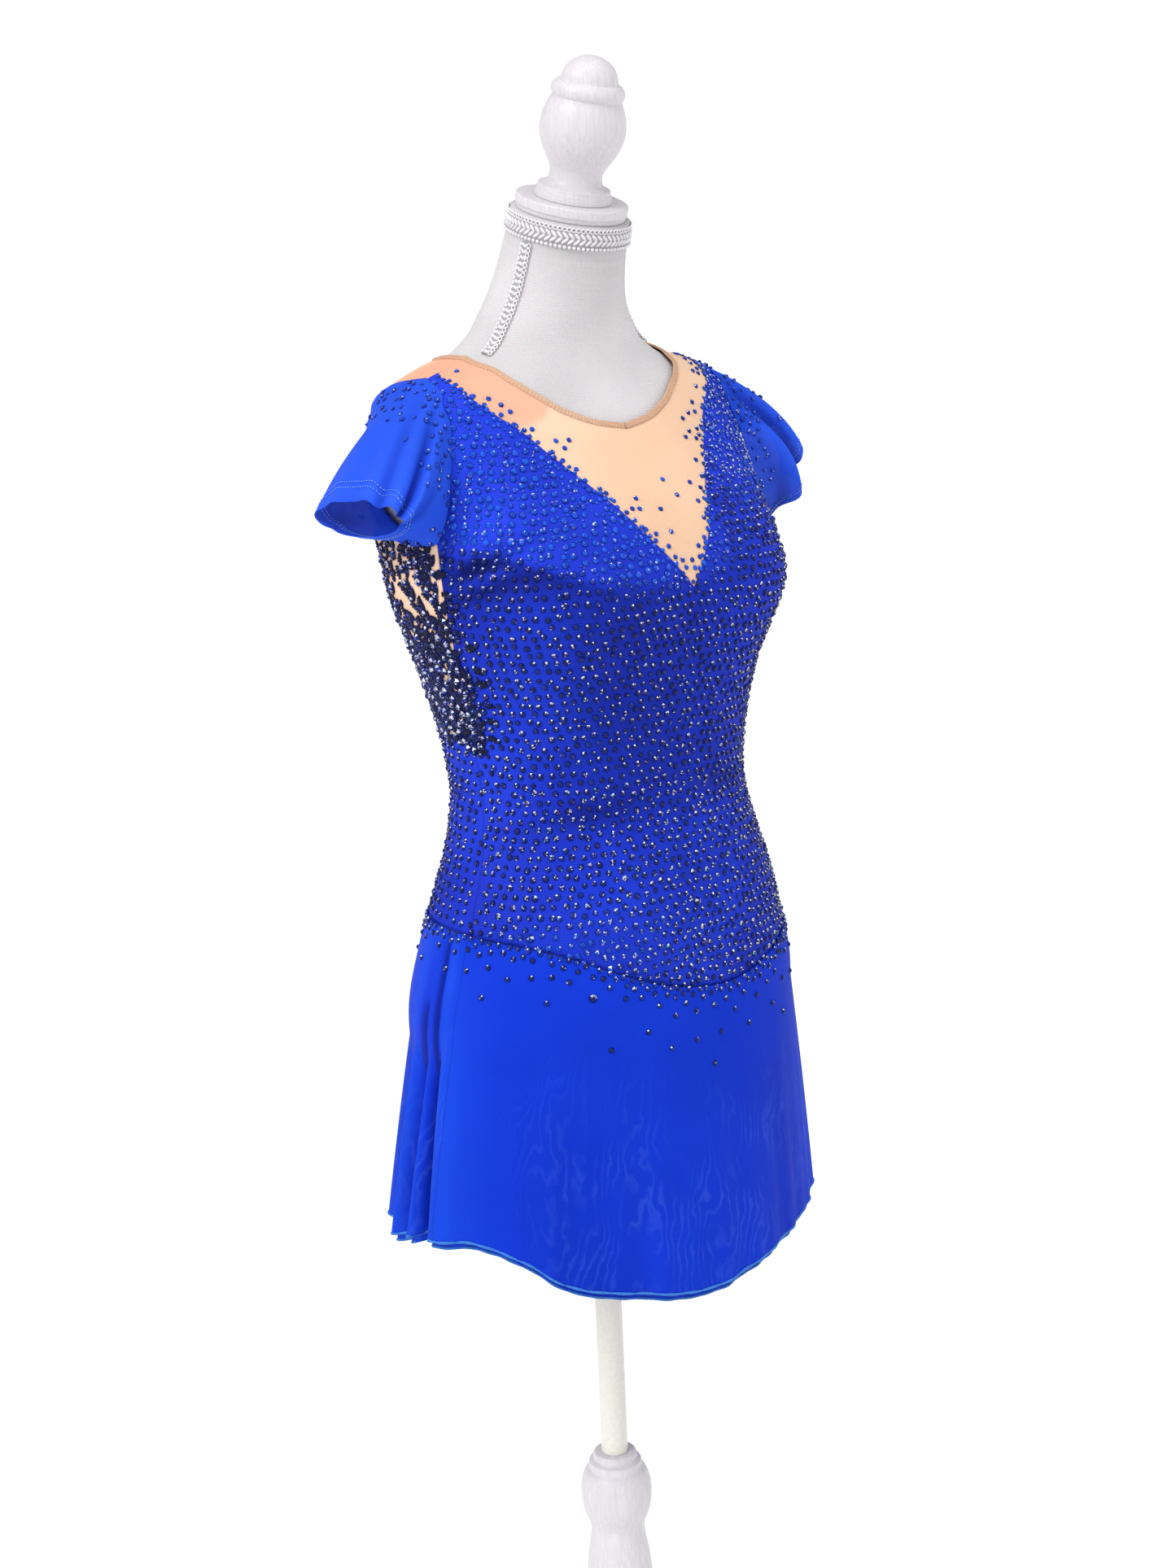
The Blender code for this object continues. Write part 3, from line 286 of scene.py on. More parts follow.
# thin cloth from grids of (points, uv, painted shading): joined, welded, thickened inwards by a Solidify
# modifier;
# the painted shading is below 0 in the troughs and above 0 on the ridges, and its material is deeper there as
# painted shade and lighter on the ridges as painted light; on the yoke it is below 0 where the mesh is
# doubled
def clothPiece(name, grids, wall, material, slotName, node, wrap=False):
    points, uvs, paintedShadingAndDoublingValues, faces, start = [], [], [], [], 0
    for grid, uv, paintedShadingAndDoubling in grids:
        points.append(grid.reshape(-1, 3))
        uvs.append(uv.reshape(-1, 2))
        paintedShadingAndDoublingValues.append(paintedShadingAndDoubling.reshape(-1))
        faces.append(gridFaces(grid.shape[0], grid.shape[1], wrap, start))
        start += grid.shape[0] * grid.shape[1]
    points, uvs, paintedShadingAndDoublingValues, faces = (np.concatenate(part) for part in (points, uvs, paintedShadingAndDoublingValues, faces))
    if len(grids) > 1:
        first, faces = weldPoints(points, faces)
        points, uvs, paintedShadingAndDoublingValues = points[first], uvs[first], paintedShadingAndDoublingValues[first]
    flat = (faces == np.roll(faces, -1, axis=1)).any(axis=1)
    piece = addPiece(name, makeMesh(name, points, [faces[~flat]], uvs), material, slotName, node)
    layer = piece.data.attributes.new("paintedShadingAndDoubling", "FLOAT", "POINT")
    layer.data.foreach_set("value", paintedShadingAndDoublingValues.astype(np.float32))
    centre = np.empty(len(piece.data.polygons) * 3, np.float32)
    facing = np.empty(len(piece.data.polygons) * 3, np.float32)
    piece.data.polygons.foreach_get("center", centre)
    piece.data.polygons.foreach_get("normal", facing)
    if ((centre.reshape(-1, 3)[:, :2] - bodyMiddle) * facing.reshape(-1, 3)[:, :2]).sum() < 0.0:
        piece.data.flip_normals()
    addWall(piece, wall, -1.0)


# grid that fills four edges, each a pair of heights and angles: rows plus columns minus the corners' share
def patch(bottom, top, first, last):
    across = np.linspace(0.0, 1.0, len(bottom[0]))[None, :]
    up = np.linspace(0.0, 1.0, len(first[0]))[:, None]
    grids = []
    for k in range(2):
        rows = first[k][:, None] * (1.0 - across) + last[k][:, None] * across
        columns = bottom[k][None, :] * (1.0 - up) + top[k][None, :] * up
        corners = (bottom[k][0] * (1.0 - across) + bottom[k][-1] * across) * (1.0 - up) \
            + (top[k][0] * (1.0 - across) + top[k][-1] * across) * up
        grids.append(rows + columns - corners)
    return grids


def joined(first, second):
    return np.concatenate([first[0], second[0][1:]]), np.concatenate([first[1], second[1][1:]])


def straightEdge(start, end, count):
    share = np.linspace(0.0, 1.0, count)
    return start[0] + (end[0] - start[0]) * share, start[1] + (end[1] - start[1]) * share


# the edge moved sideways over the body by an amount in metres
def seamShift(edge, amount):
    height, angle = edge
    place = bodyPoint(height, angle)
    way = unit(np.gradient(place, axis=0))
    sideways = np.cross(bodyNormal(height, angle), way)
    up = (bodyPoint(height + 0.0005, angle) - place) / 0.0005
    turn = (bodyPoint(height, angle + 0.25) - place) / 0.25
    uu, ut, tt = (up * up).sum(-1), (up * turn).sum(-1), (turn * turn).sum(-1)
    us, ts = (up * sideways).sum(-1) * amount, (turn * sideways).sum(-1) * amount
    wide = uu * tt - ut * ut
    return height + (us * tt - ts * ut) / wide, angle + (ts * uu - us * ut) / wide


# uv in metres of cloth: arc length round the ring, arc length up the body at 35 degrees
arcAngles = np.linspace(-180.0, 180.0, 361)
arcHeights = np.linspace(formBottom, 1.44, 331)
ringWalk = bodyPoint(arcHeights[:, None], arcAngles[None, :])
ringStep = np.linalg.norm(np.diff(ringWalk, axis=1), axis=-1)
arcRound = np.concatenate([np.zeros((len(arcHeights), 1)), np.cumsum(ringStep, axis=1)], axis=1)
arcRound -= arcRound[:, 180:181]
frontWalk = bodyPoint(arcHeights, np.full(len(arcHeights), 35.0))
arcUp = runLength(frontWalk)


def roundArc(height, angle):
    angle = wrapped(angle)
    row = np.clip((height - arcHeights[0]) / (arcHeights[1] - arcHeights[0]), 0, len(arcHeights) - 1.001)
    column = np.clip(angle + 180.0, 0.0, 359.999)
    r, c = row.astype(int), column.astype(int)
    fr, fc = row - r, column - c
    low = arcRound[r, c] * (1 - fc) + arcRound[r, c + 1] * fc
    high = arcRound[r + 1, c] * (1 - fc) + arcRound[r + 1, c + 1] * fc
    return low * (1 - fr) + high * fr


def angleAtArc(height, arc):
    rows = np.round((height - arcHeights[0]) / (arcHeights[1] - arcHeights[0])).astype(int)
    rows = np.clip(rows, 0, len(arcHeights) - 1)
    found = [np.interp(a, arcRound[r], arcAngles, left=-999.0, right=999.0) for a, r in zip(arc, rows)]
    return np.array(found)


def upArc(height):
    return np.interp(height, arcHeights, arcUp)


def clothUv(height, angle):
    return np.stack([roundArc(height, angle), upArc(height)], axis=-1)


# materials
black, white = (0.0, 0.0, 0.0), (1.0, 1.0, 1.0)


def newMaterial(name):
    material = bpy.data.materials.new(name)
    material.use_nodes = True
    return material, material.node_tree, material.node_tree.nodes["Principled BSDF"]


# sets inputs by socket name: a pair of a node and its output is linked, all else is a plain value
def feed(tree, node, inputs):
    for socket, value in inputs.items():
        if isinstance(value, tuple) and isinstance(value[0], bpy.types.Node):
            tree.links.new(value[0].outputs[value[1]], node.inputs[socket])
        else:
            node.inputs[socket].default_value = value


def addNode(tree, kind, inputs, **settings):
    node = tree.nodes.new("ShaderNode" + kind)
    for key, value in settings.items():
        setattr(node, key, value)
    feed(tree, node, inputs)
    return node


def addNoise(tree, vector, scale, detail, distortion=0.0):
    inputs = {"Vector": vector, "Scale": scale, "Detail": detail, "Distortion": distortion}
    return addNode(tree, "TexNoise", inputs)


def addBands(tree, direction, inputs):
    return addNode(tree, "TexWave", inputs, wave_type="BANDS", bands_direction=direction), "Fac"


def objectPlace(tree):
    return addNode(tree, "TexCoord", {}), "Object"


def ramp(tree, factor, *stops):
    node = addNode(tree, "ValToRGB", {"Fac": factor})
    elements = node.color_ramp.elements
    elements[0].position, elements[0].color = stops[0][0], (*stops[0][1], 1.0)
    elements[1].position, elements[1].color = stops[-1][0], (*stops[-1][1], 1.0)
    for place, colour in stops[1:-1]:
        elements.new(place).color = (*colour, 1.0)
    return node, "Color"


def greyRamp(tree, factor, low, high):
    return ramp(tree, factor, (low[0], (low[1],) * 3), (high[0], (high[1],) * 3))


def mixColour(tree, blend, factor, first, second):
    inputs = {"Factor": factor, "A": first, "B": second}
    return addNode(tree, "Mix", inputs, data_type="RGBA", blend_type=blend), "Result"


def multiply(tree, *values):
    product = values[0]
    for value in values[1:]:
        product = addNode(tree, "Math", {0: product, 1: value}, operation="MULTIPLY"), 0
    return product


def mapRange(tree, value, low, high):
    return addNode(tree, "MapRange", {"Value": value, "From Min": low, "From Max": high}), "Result"


# fine brushed streaks that wander and cross, in patches; the two layers of mesh lie close enough for them
# only low on the skirt, and not at the wearer's right
moireLook = {
    "squeeze": (30.0, 13.0, 1.0), "turn": (0.0, 0.0, 0.25), "scale": 1.3, "wander": 34.0, "detailScale": 0.55,
    "patches": 19.0, "heights": (-0.06, -0.15), "sides": (-0.18, -0.09),
}


def addMoire(tree, uv, tone, look):
    shape = moireLook
    squeezed = addNode(tree, "Mapping", {"Vector": uv, "Scale": shape["squeeze"], "Rotation": shape["turn"]})
    streaks = addBands(tree, "X", {"Vector": (squeezed, "Vector"), "Scale": shape["scale"],
                                   "Distortion": shape["wander"], "Detail": 4.0,
                                   "Detail Scale": shape["detailScale"]})
    thin = ramp(tree, streaks, (0.50, black), (0.80, (0.45, 0.45, 0.45)), (1.0, white))
    patchy = ramp(tree, (addNoise(tree, uv, shape["patches"], 2.0), "Fac"), (0.40, black), (0.60, white))
    split = addNode(tree, "SeparateXYZ", {"Vector": uv})
    low = mapRange(tree, (split, "Y"), *shape["heights"])
    inner = mapRange(tree, (split, "X"), *shape["sides"])
    amount = multiply(tree, thin, patchy, low, inner, look["moire"])
    return mixColour(tree, "MIX", amount, tone, (*look["moireColour"], 1.0))


# knit or mesh cloth: broad and fine colour variation, a grid of yarns in the uv for bump and tone,
# painted shade deepens the colour in the troughs and painted light lightens it on the ridges; on the yoke the
# same attribute gives the doubled mesh its real deeper tone
def clothMaterial(name, look):
    material, tree, shader = newMaterial(name)
    uv = addNode(tree, "UVMap", {}, uv_map="cloth"), "UV"
    broad = addNoise(tree, objectPlace(tree), look["broadScale"], 3.0)
    grain = addNoise(tree, uv, look["grainScale"], 2.0)
    wales = addBands(tree, "X", {"Vector": uv, "Scale": look["wales"], "Distortion": 0.6, "Detail": 2.0,
                                 "Detail Scale": 2.0})
    courses = addBands(tree, "Y", {"Vector": uv, "Scale": look["courses"], "Distortion": 0.4})
    yarn = multiply(tree, wales, courses)
    tone = ramp(tree, (broad, "Fac"), (0.32, look["dark"]), (0.50, look["colour"]), (0.70, look["light"]))
    yarnTone = ramp(tree, yarn, (0.0, look["yarnDark"]), (0.55, white))
    tone = mixColour(tree, "MULTIPLY", look["yarnTone"], tone, yarnTone)
    tone = mixColour(tree, "OVERLAY", look["grainTone"], tone, (grain, "Color"))
    paintedShadingAndDoubling = addNode(tree, "Attribute", {}, attribute_name="paintedShadingAndDoubling"), "Fac"
    paintedShadingAndDoublingTone = ramp(tree, mapRange(tree, paintedShadingAndDoubling, -1.0, 1.0), (0.0, look["paintedShadeAndDoubledDark"]), (0.5, white),
                      (1.0, look["paintedRidgeLight"]))
    tone = mixColour(tree, "MULTIPLY", 1.0, tone, paintedShadingAndDoublingTone)
    if look.get("moire"):
        tone = addMoire(tree, uv, tone, look)
    bump = addNode(tree, "Bump", {"Strength": look["bump"], "Distance": 0.0004, "Height": yarn})
    swell = addNode(tree, "Bump", {"Strength": look["creaseBump"], "Distance": 0.002,
                                   "Height": (broad, "Fac"), "Normal": (bump, "Normal")})
    feed(tree, shader, {
        "Base Color": tone, "Normal": (swell, "Normal"), "Specular IOR Level": look["specular"],
        "Roughness": greyRamp(tree, (grain, "Fac"), (0.2, look["smooth"]), (0.8, look["rough"])),
        "Sheen Weight": look["sheen"], "Sheen Roughness": 0.45, "Sheen Tint": (*look["sheenTint"], 1.0),
        "Alpha": look.get("alpha", 1.0),
    })
    return material


blueStretchLook = {
    "dark": (0.008, 0.024, 0.39), "colour": (0.010, 0.032, 0.50), "light": (0.013, 0.046, 0.64),
    "broadScale": 7.0, "wales": 140.0, "courses": 150.0, "grainScale": 900.0, "yarnTone": 0.40,
    "yarnDark": (0.55, 0.55, 0.72), "grainTone": 0.08, "smooth": 0.55, "rough": 0.75, "bump": 0.30,
    "creaseBump": 0.05, "paintedShadeAndDoubledDark": (0.22, 0.22, 0.24), "paintedRidgeLight": (1.9, 1.6, 1.40),
    "sheen": 0.03, "sheenTint": (0.20, 0.30, 1.0), "specular": 0.08,
}
blueMeshLook = {
    "dark": (0.0035, 0.029, 0.47), "colour": (0.004, 0.034, 0.54), "light": (0.006, 0.042, 0.64),
    "broadScale": 5.0, "wales": 220.0, "courses": 220.0, "grainScale": 1200.0, "yarnTone": 0.30,
    "yarnDark": (0.70, 0.70, 0.84), "grainTone": 0.05, "smooth": 0.55, "rough": 0.70, "bump": 0.20,
    "creaseBump": 0.04, "paintedShadeAndDoubledDark": (0.36, 0.36, 0.46), "paintedRidgeLight": (1.9, 1.7, 1.16),
    "sheen": 0.02, "sheenTint": (0.20, 0.35, 1.0), "specular": 0.05,
    "moire": 0.20, "moireColour": (0.065, 0.145, 0.68),
}
sleeveMeshLook = {
    **blueMeshLook, "moire": 0.0, "alpha": 0.90,
    "dark": (0.016, 0.072, 0.62), "colour": (0.024, 0.100, 0.80), "light": (0.032, 0.130, 0.90),
    "paintedShadeAndDoubledDark": (0.45, 0.45, 0.60), "paintedRidgeLight": (1.35, 1.25, 1.08),
}
nudeMeshLook = {
    "dark": (0.78, 0.50, 0.33), "colour": (0.84, 0.56, 0.385), "light": (0.90, 0.63, 0.45),
    "broadScale": 6.0, "wales": 210.0, "courses": 210.0, "grainScale": 1100.0, "yarnTone": 0.25,
    "yarnDark": (0.86, 0.80, 0.74), "grainTone": 0.05, "smooth": 0.55, "rough": 0.70, "bump": 0.18,
    "creaseBump": 0.03, "paintedShadeAndDoubledDark": (0.97, 0.74, 0.72), "paintedRidgeLight": white,
    "sheen": 0.08, "sheenTint": (1.0, 0.85, 0.7), "specular": 0.15,
}
bindingLook = {
    **nudeMeshLook, "dark": (0.62, 0.36, 0.22), "colour": (0.72, 0.45, 0.29), "light": (0.82, 0.56, 0.40),
    "wales": 300.0, "courses": 110.0, "yarnTone": 0.6, "yarnDark": (0.62, 0.52, 0.45), "bump": 0.8,
}
jerseyLook = {
    "dark": (0.58, 0.56, 0.565), "colour": (0.645, 0.625, 0.635), "light": (0.72, 0.70, 0.705),
    "broadScale": 9.0, "wales": 150.0, "courses": 170.0, "grainScale": 520.0, "yarnTone": 0.35,
    "yarnDark": (0.80, 0.80, 0.82), "grainTone": 0.16, "smooth": 0.80, "rough": 0.95, "bump": 0.5,
    "creaseBump": 0.03, "paintedShadeAndDoubledDark": (0.7, 0.7, 0.7), "paintedRidgeLight": white,
    "sheen": 0.08, "sheenTint": white, "specular": 0.12,
}
blueStretch = clothMaterial("blue_stretch", blueStretchLook)
blueMesh = clothMaterial("blue_mesh", blueMeshLook)
sleeveMesh = clothMaterial("sleeve_mesh", sleeveMeshLook)
nudeMesh = clothMaterial("nude_mesh", nudeMeshLook)
nudeBinding = clothMaterial("nude_binding", bindingLook)
jersey = clothMaterial("form_jersey", jerseyLook)


# paint over turned wood or metal: faint grain along Z, a few worn spots, soft gloss
def paintMaterial(name, look):
    material, tree, shader = newMaterial(name)
    place = objectPlace(tree)
    stretched = addNode(tree, "Mapping", {"Vector": place, "Scale": look["stretch"]}), "Vector"
    grain = addNoise(tree, stretched, look["grainScale"], 6.0, 0.4), "Fac"
    spots = addNoise(tree, place, 28.0, 4.0), "Fac"
    tone = ramp(tree, grain, (0.30, look["dark"]), (0.55, look["colour"]), (0.75, look["light"]))
    worn = ramp(tree, spots, (0.30, look["worn"]), (0.40, white))
    bump = addNode(tree, "Bump", {"Strength": look["bump"], "Distance": 0.0004, "Height": grain})
    feed(tree, shader, {
        "Base Color": mixColour(tree, "MULTIPLY", 0.8, tone, worn), "Normal": (bump, "Normal"),
        "Roughness": greyRamp(tree, spots, (0.3, look["smooth"]), (0.7, look["rough"])),
        "Coat Weight": look["coat"], "Coat Roughness": 0.25,
    })
    return material


whiteWood = paintMaterial("white_wood", {
    "dark": (0.59, 0.565, 0.59), "colour": (0.65, 0.62, 0.65), "light": (0.70, 0.675, 0.70),
    "worn": (0.96, 0.95, 0.94), "stretch": (280.0, 280.0, 14.0), "grainScale": 2.2, "smooth": 0.38,
    "rough": 0.52, "bump": 0.13, "coat": 0.08,
})
whiteMetal = paintMaterial("white_metal", {
    "dark": (0.70, 0.68, 0.60), "colour": (0.74, 0.72, 0.65), "light": (0.78, 0.76, 0.69),
    "worn": (0.92, 0.91, 0.89), "stretch": (30.0, 30.0, 30.0), "grainScale": 12.0, "smooth": 0.25,
    "rough": 0.4, "bump": 0.08, "coat": 0.4,
})


# thread, braid, bead and stone materials: tone from a colour attribute times a small noise
def toneMaterial(name, look):
    material, tree, shader = newMaterial(name)
    tone = addNode(tree, "VertexColor", {}, layer_name="tone"), "Color"
    grain = addNoise(tree, objectPlace(tree), look["grainScale"], 2.0), "Fac"
    fine = greyRamp(tree, grain, (0.3, look["grainDark"]), (0.7, 1.0))
    feed(tree, shader, {
        "Base Color": mixColour(tree, "MULTIPLY", 1.0, tone, fine),
        "Roughness": greyRamp(tree, grain, (0.3, look["smooth"]), (0.7, look["rough"])),
        "Metallic": 0.0, "Specular IOR Level": look["specular"], "Coat Weight": look["coat"],
        "Coat Roughness": 0.03, "Sheen Weight": look["sheen"],
    })
    return material


stoneMaterial = toneMaterial("cut_stone", {
    "grainScale": 900.0, "grainDark": 0.85, "smooth": 0.10, "rough": 0.20, "specular": 0.12, "coat": 0.05,
    "sheen": 0.0,
})
threadMaterial = toneMaterial("thread", {
    "grainScale": 2500.0, "grainDark": 0.80, "smooth": 0.5, "rough": 0.8, "specular": 0.2, "coat": 0.0,
    "sheen": 0.1,
})
beadMaterial = toneMaterial("bead", {
    "grainScale": 1500.0, "grainDark": 0.7, "smooth": 0.15, "rough": 0.35, "specular": 0.10, "coat": 0.0,
    "sheen": 0.0,
})
print("materials made")


# small repeated shapes
# many copies of one shape: its points turned into each copy's frame (sideways, up, out) and moved there
def scatter(shape, faceArrays, place, sideways, up, out, size):
    size = np.asarray(size, float)
    size = np.broadcast_to(size.reshape(-1, 1) if size.ndim < 2 else size, (len(place), 3))
    local = shape[None, :, :] * size[:, None, :]
    points = place[:, None, :]
    for k, axis in enumerate((sideways, up, out)):
        points = points + local[..., k:k + 1] * axis[:, None, :]
    shift = (np.arange(len(place)) * len(shape))[:, None, None]
    return points.reshape(-1, 3), [(faces[None] + shift).reshape(-1, faces.shape[1]) for faces in faceArrays]


# joins scattered shapes to one array of points and one array for each kind of face
def gathered(runs):
    points, kinds, start = [], {}, 0
    for runPoints, faceArrays in runs:
        for kind, faces in enumerate(faceArrays):
            kinds.setdefault(kind, []).append(faces + start)
        points.append(runPoints)
        start += len(runPoints)
    return np.concatenate(points), [np.concatenate(faces) for faces in kinds.values()]


def setTone(mesh, tones):
    layer = mesh.color_attributes.new("tone", "FLOAT_COLOR", "CORNER")
    sizes = np.empty(len(mesh.polygons), np.int32)
    mesh.polygons.foreach_get("loop_total", sizes)
    colour = np.repeat(np.concatenate([tones, np.ones((len(tones), 1))], axis=1), sizes, axis=0)
    layer.data.foreach_set("color", colour.astype(np.float32).reshape(-1))


# piece whose faces each take the colour a little darker or lighter
def mottledPiece(name, points, faceArrays, colour, dice, darkest, lightest, material, slotName, *nodes):
    mesh = makeMesh(name, points, faceArrays)
    setTone(mesh, np.array(colour) * dice.uniform(darkest, lightest, (len(mesh.polygons), 1)))
    return addPiece(name, mesh, material, slotName, *nodes)


# drops each stone that comes nearer to an earlier one than the room of both
def thinOut(place, room):
    cell = 2.0 * float(np.max(room))
    grid, keep = {}, np.ones(len(place), bool)
    for k in range(len(place)):
        home = tuple((place[k] // cell).astype(int))
        near = [n for dx in (-1, 0, 1) for dy in (-1, 0, 1) for dz in (-1, 0, 1)
                for n in grid.get((home[0] + dx, home[1] + dy, home[2] + dz), ())]
        if near and (np.linalg.norm(place[near] - place[k], axis=-1) < room[near] + room[k]).any():
            keep[k] = False
        else:
            grid.setdefault(home, []).append(k)
    return keep


# flat-backed round stone, radius 1: girdle ring, crown ring, small table
def stoneShape(sides=8):
    turn = np.linspace(0.0, 2.0 * np.pi, sides, endpoint=False)
    ring = np.stack([np.cos(turn), np.sin(turn)], axis=-1)
    low = np.concatenate([ring, np.zeros((sides, 1))], axis=1)
    girdle = np.concatenate([ring, np.full((sides, 1), 0.22)], axis=1)
    half = turn + np.pi / sides
    table = np.stack([0.46 * np.cos(half), 0.46 * np.sin(half), np.full(sides, 0.70)], axis=-1)
    points = np.concatenate([low, girdle, table, [[0.0, 0.0, 0.78]]])
    n = np.arange(sides)
    m = (n + 1) % sides
    wall = np.stack([n, m, m + sides, n + sides], axis=-1)
    main = np.stack([n + sides, m + sides, n + 2 * sides], axis=-1)
    star = np.stack([m + sides, m + 2 * sides, n + 2 * sides], axis=-1)
    top = np.stack([n + 2 * sides, m + 2 * sides, np.full(sides, 3 * sides)], axis=-1)
    return points, wall, np.concatenate([main, star, top])


# navy is the stones' own colour and deep their own darker facets, painted lighter on lit stones; blue and
# cyan are painted light on lit stones; glint, violet and green are painted reflections on single facets
stoneTones = {
    "navy": (0.007, 0.012, 0.095), "deep": (0.010, 0.028, 0.29), "blue": (0.010, 0.056, 0.54),
    "cyan": (0.014, 0.110, 0.760), "glint": (0.86, 0.88, 1.0), "violet": (0.22, 0.12, 0.60),
    "green": (0.16, 0.52, 0.50),
}
stoneLight = np.array([-0.25, -0.35, 1.0])


# stones at points with normals; flash (0 to 1) says how bright and cyan each one is painted (painted light),
# the glint share how many of its facets are painted white glints, room how much place it needs round it
def addStones(name, place, normal, radius, flash, seed, glintShare=0.0, room=None):
    glintShare = np.broadcast_to(glintShare, len(place))
    if room is not None:
        keep = thinOut(place, room)
        place, normal, radius, flash, glintShare = (values[keep] for values in (place, normal, radius, flash, glintShare))
    dice = np.random.default_rng(seed)
    count = len(place)
    across = unit(np.cross(normal, np.array([0.0, 0.0, 1.0])))
    upward = np.cross(normal, across)
    spin = dice.uniform(0.0, 2.0 * np.pi, (count, 1))
    sideways = across * np.cos(spin) + upward * np.sin(spin)
    up = np.cross(normal, sideways)
    out = unit(normal + dice.normal(0.0, 0.05, (count, 3)))
    shape, wall, crown = stoneShape()
    points, faces = scatter(shape, [wall, crown], place, sideways, up, out, radius)
    mesh = makeMesh(name, points, faces, smooth=False)
    glintShare = glintShare[:, None, None]
    # painted light: lit stones are painted blue and cyan, shaded ones navy
    mood = clipped(flash + dice.normal(0.0, 0.10, count))[:, None, None]
    tones = {key: np.array(value) for key, value in stoneTones.items()}
    chance = dice.random((count, len(crown), 1))
    tone = tones["navy"] * (1.0 - mood) + tones["blue"] * mood
    tone = np.where((chance > 0.60) & (chance < 0.80), tones["deep"] * (0.6 + mood), tone)
    tone = np.where(chance < 0.75 * mood**1.5, tones["cyan"] * (0.5 + 0.5 * mood), tone)
    tone = np.where((chance > 0.90) & (chance < 0.91 + 0.12 * glintShare), tones["violet"], tone)
    tone = np.where((chance > 0.84) & (chance < 0.84 + 0.10 * glintShare), tones["green"], tone)
    # painted glints: the facets that lean most towards the light are painted white
    corner = points.reshape(count, -1, 3)[:, crown, :].mean(axis=2) - place[:, None, :]
    leaning = (corner * (stoneLight + dice.normal(0.0, 0.30, (count, 1, 3)))).sum(-1)
    order = np.argsort(np.argsort(-leaning, axis=1), axis=1)[..., None]
    lit = dice.random((count, 1, 1))
    glint = tones["glint"] * (0.60 + 0.60 * dice.random((count, 1, 1)))
    many = (order < 1 + np.floor(5.0 * glintShare)) & (lit < 0.68 - 0.30 * mood + 0.4 * glintShare)
    tone = np.where(many, glint, tone)
    tone = np.where((order == 1) & (lit < 0.18 - 0.15 * mood + glintShare), glint * 0.7, tone)
    tone = np.where(chance > 0.985 - 0.35 * glintShare, tones["glint"] * 0.8, tone)
    wallTone = np.broadcast_to(tones["navy"] * 0.9, (count * len(wall), 3))
    setTone(mesh, np.concatenate([wallTone, tone.reshape(-1, 3)]))
    addPiece(name, mesh, stoneMaterial, "blue_stretch")


# short capsule-like stitch, 4 sides, pointed at both ends, length 1 along its first axis
stitchShape = np.array([(-0.5, 0.0, 0.0), (-0.3, -0.5, 0.1), (-0.3, 0.0, 0.6), (-0.3, 0.5, 0.1),
                        (0.3, -0.5, 0.1), (0.3, 0.0, 0.6), (0.3, 0.5, 0.1), (0.5, 0.0, 0.0)])
stitchQuads = np.array([(1, 4, 5, 2), (2, 5, 6, 3), (3, 6, 4, 1)])
stitchEnds = np.array([(0, 1, 2), (0, 2, 3), (0, 3, 1), (7, 5, 4), (7, 6, 5), (7, 4, 6)])


# stitches round a closed line of points: one at each step, lying along it, slant turns each in the surface
def stitchRun(line, normal, stitch, slant=0.0):
    step, length, width = stitch
    line, normal = (np.concatenate([values, values[:1]]) for values in (line, normal))
    run = runLength(line)
    at = np.arange(step * 0.5, run[-1], step)
    ahead = unit(pointsAt(at + 0.0005, run, line) - pointsAt(at - 0.0005, run, line))
    out = unit(pointsAt(at, run, normal))
    sideways = ahead * math.cos(slant) + np.cross(out, ahead) * math.sin(slant)
    size = np.tile([length, width, width], (len(at), 1))
    return scatter(stitchShape, [stitchQuads, stitchEnds], pointsAt(at, run, line), sideways,
                   np.cross(out, sideways), out, size)


def addStitches(name, runs, colour, slotName):
    points, faceArrays = gathered(runs)
    dice = np.random.default_rng(5)
    mottledPiece(name, points, faceArrays, colour, dice, 0.8, 1.1, threadMaterial, slotName)


# dress form
formLook = {
    "steps": 144, "rowStep": 0.006,
    # rounded edge of the plate under it: how far down, share of the outline, uv down
    "plate": [(0.0085, 0.90, 0.016), (0.008, 0.965, 0.008), (0.0045, 0.995, 0.0045)],
}


# rings of the body all the way up, with a flat plate under it; the same rings as the solid, closer together
def makeForm():
    heights = np.append(np.arange(formBottom, neckTop, formLook["rowStep"]), neckTop)
    angle = np.linspace(-180.0, 180.0, formLook["steps"], endpoint=False)
    body = bodyPoint(heights[:, None], angle[None, :])
    bodyUv = clothUv(*np.broadcast_arrays(heights[:, None], angle[None, :]))
    grid, uv = [], []
    for down, share, uvDown in formLook["plate"]:
        ring = body[0].copy()
        ring[:, 2] -= down
        ring[:, :2] = bodyMiddle + (ring[:, :2] - bodyMiddle) * share
        grid.append(ring)
        uv.append(bodyUv[0] - [0.0, uvDown])
    grid, uv = np.concatenate([grid, body]), np.concatenate([uv, bodyUv])
    rows, steps = grid.shape[:2]
    points = np.concatenate([grid.reshape(-1, 3), [grid[0].mean(0), grid[-1].mean(0)]])
    uv = np.concatenate([uv.reshape(-1, 2), [[0.0, -0.02], [0.0, 0.9]]])
    mesh = makeMesh("dress_form", points, [gridFaces(rows, steps, True), tubeCaps(rows, steps)], uv)
    addPiece("dress_form", mesh, jersey, "form_jersey", "form_torso")


makeForm()


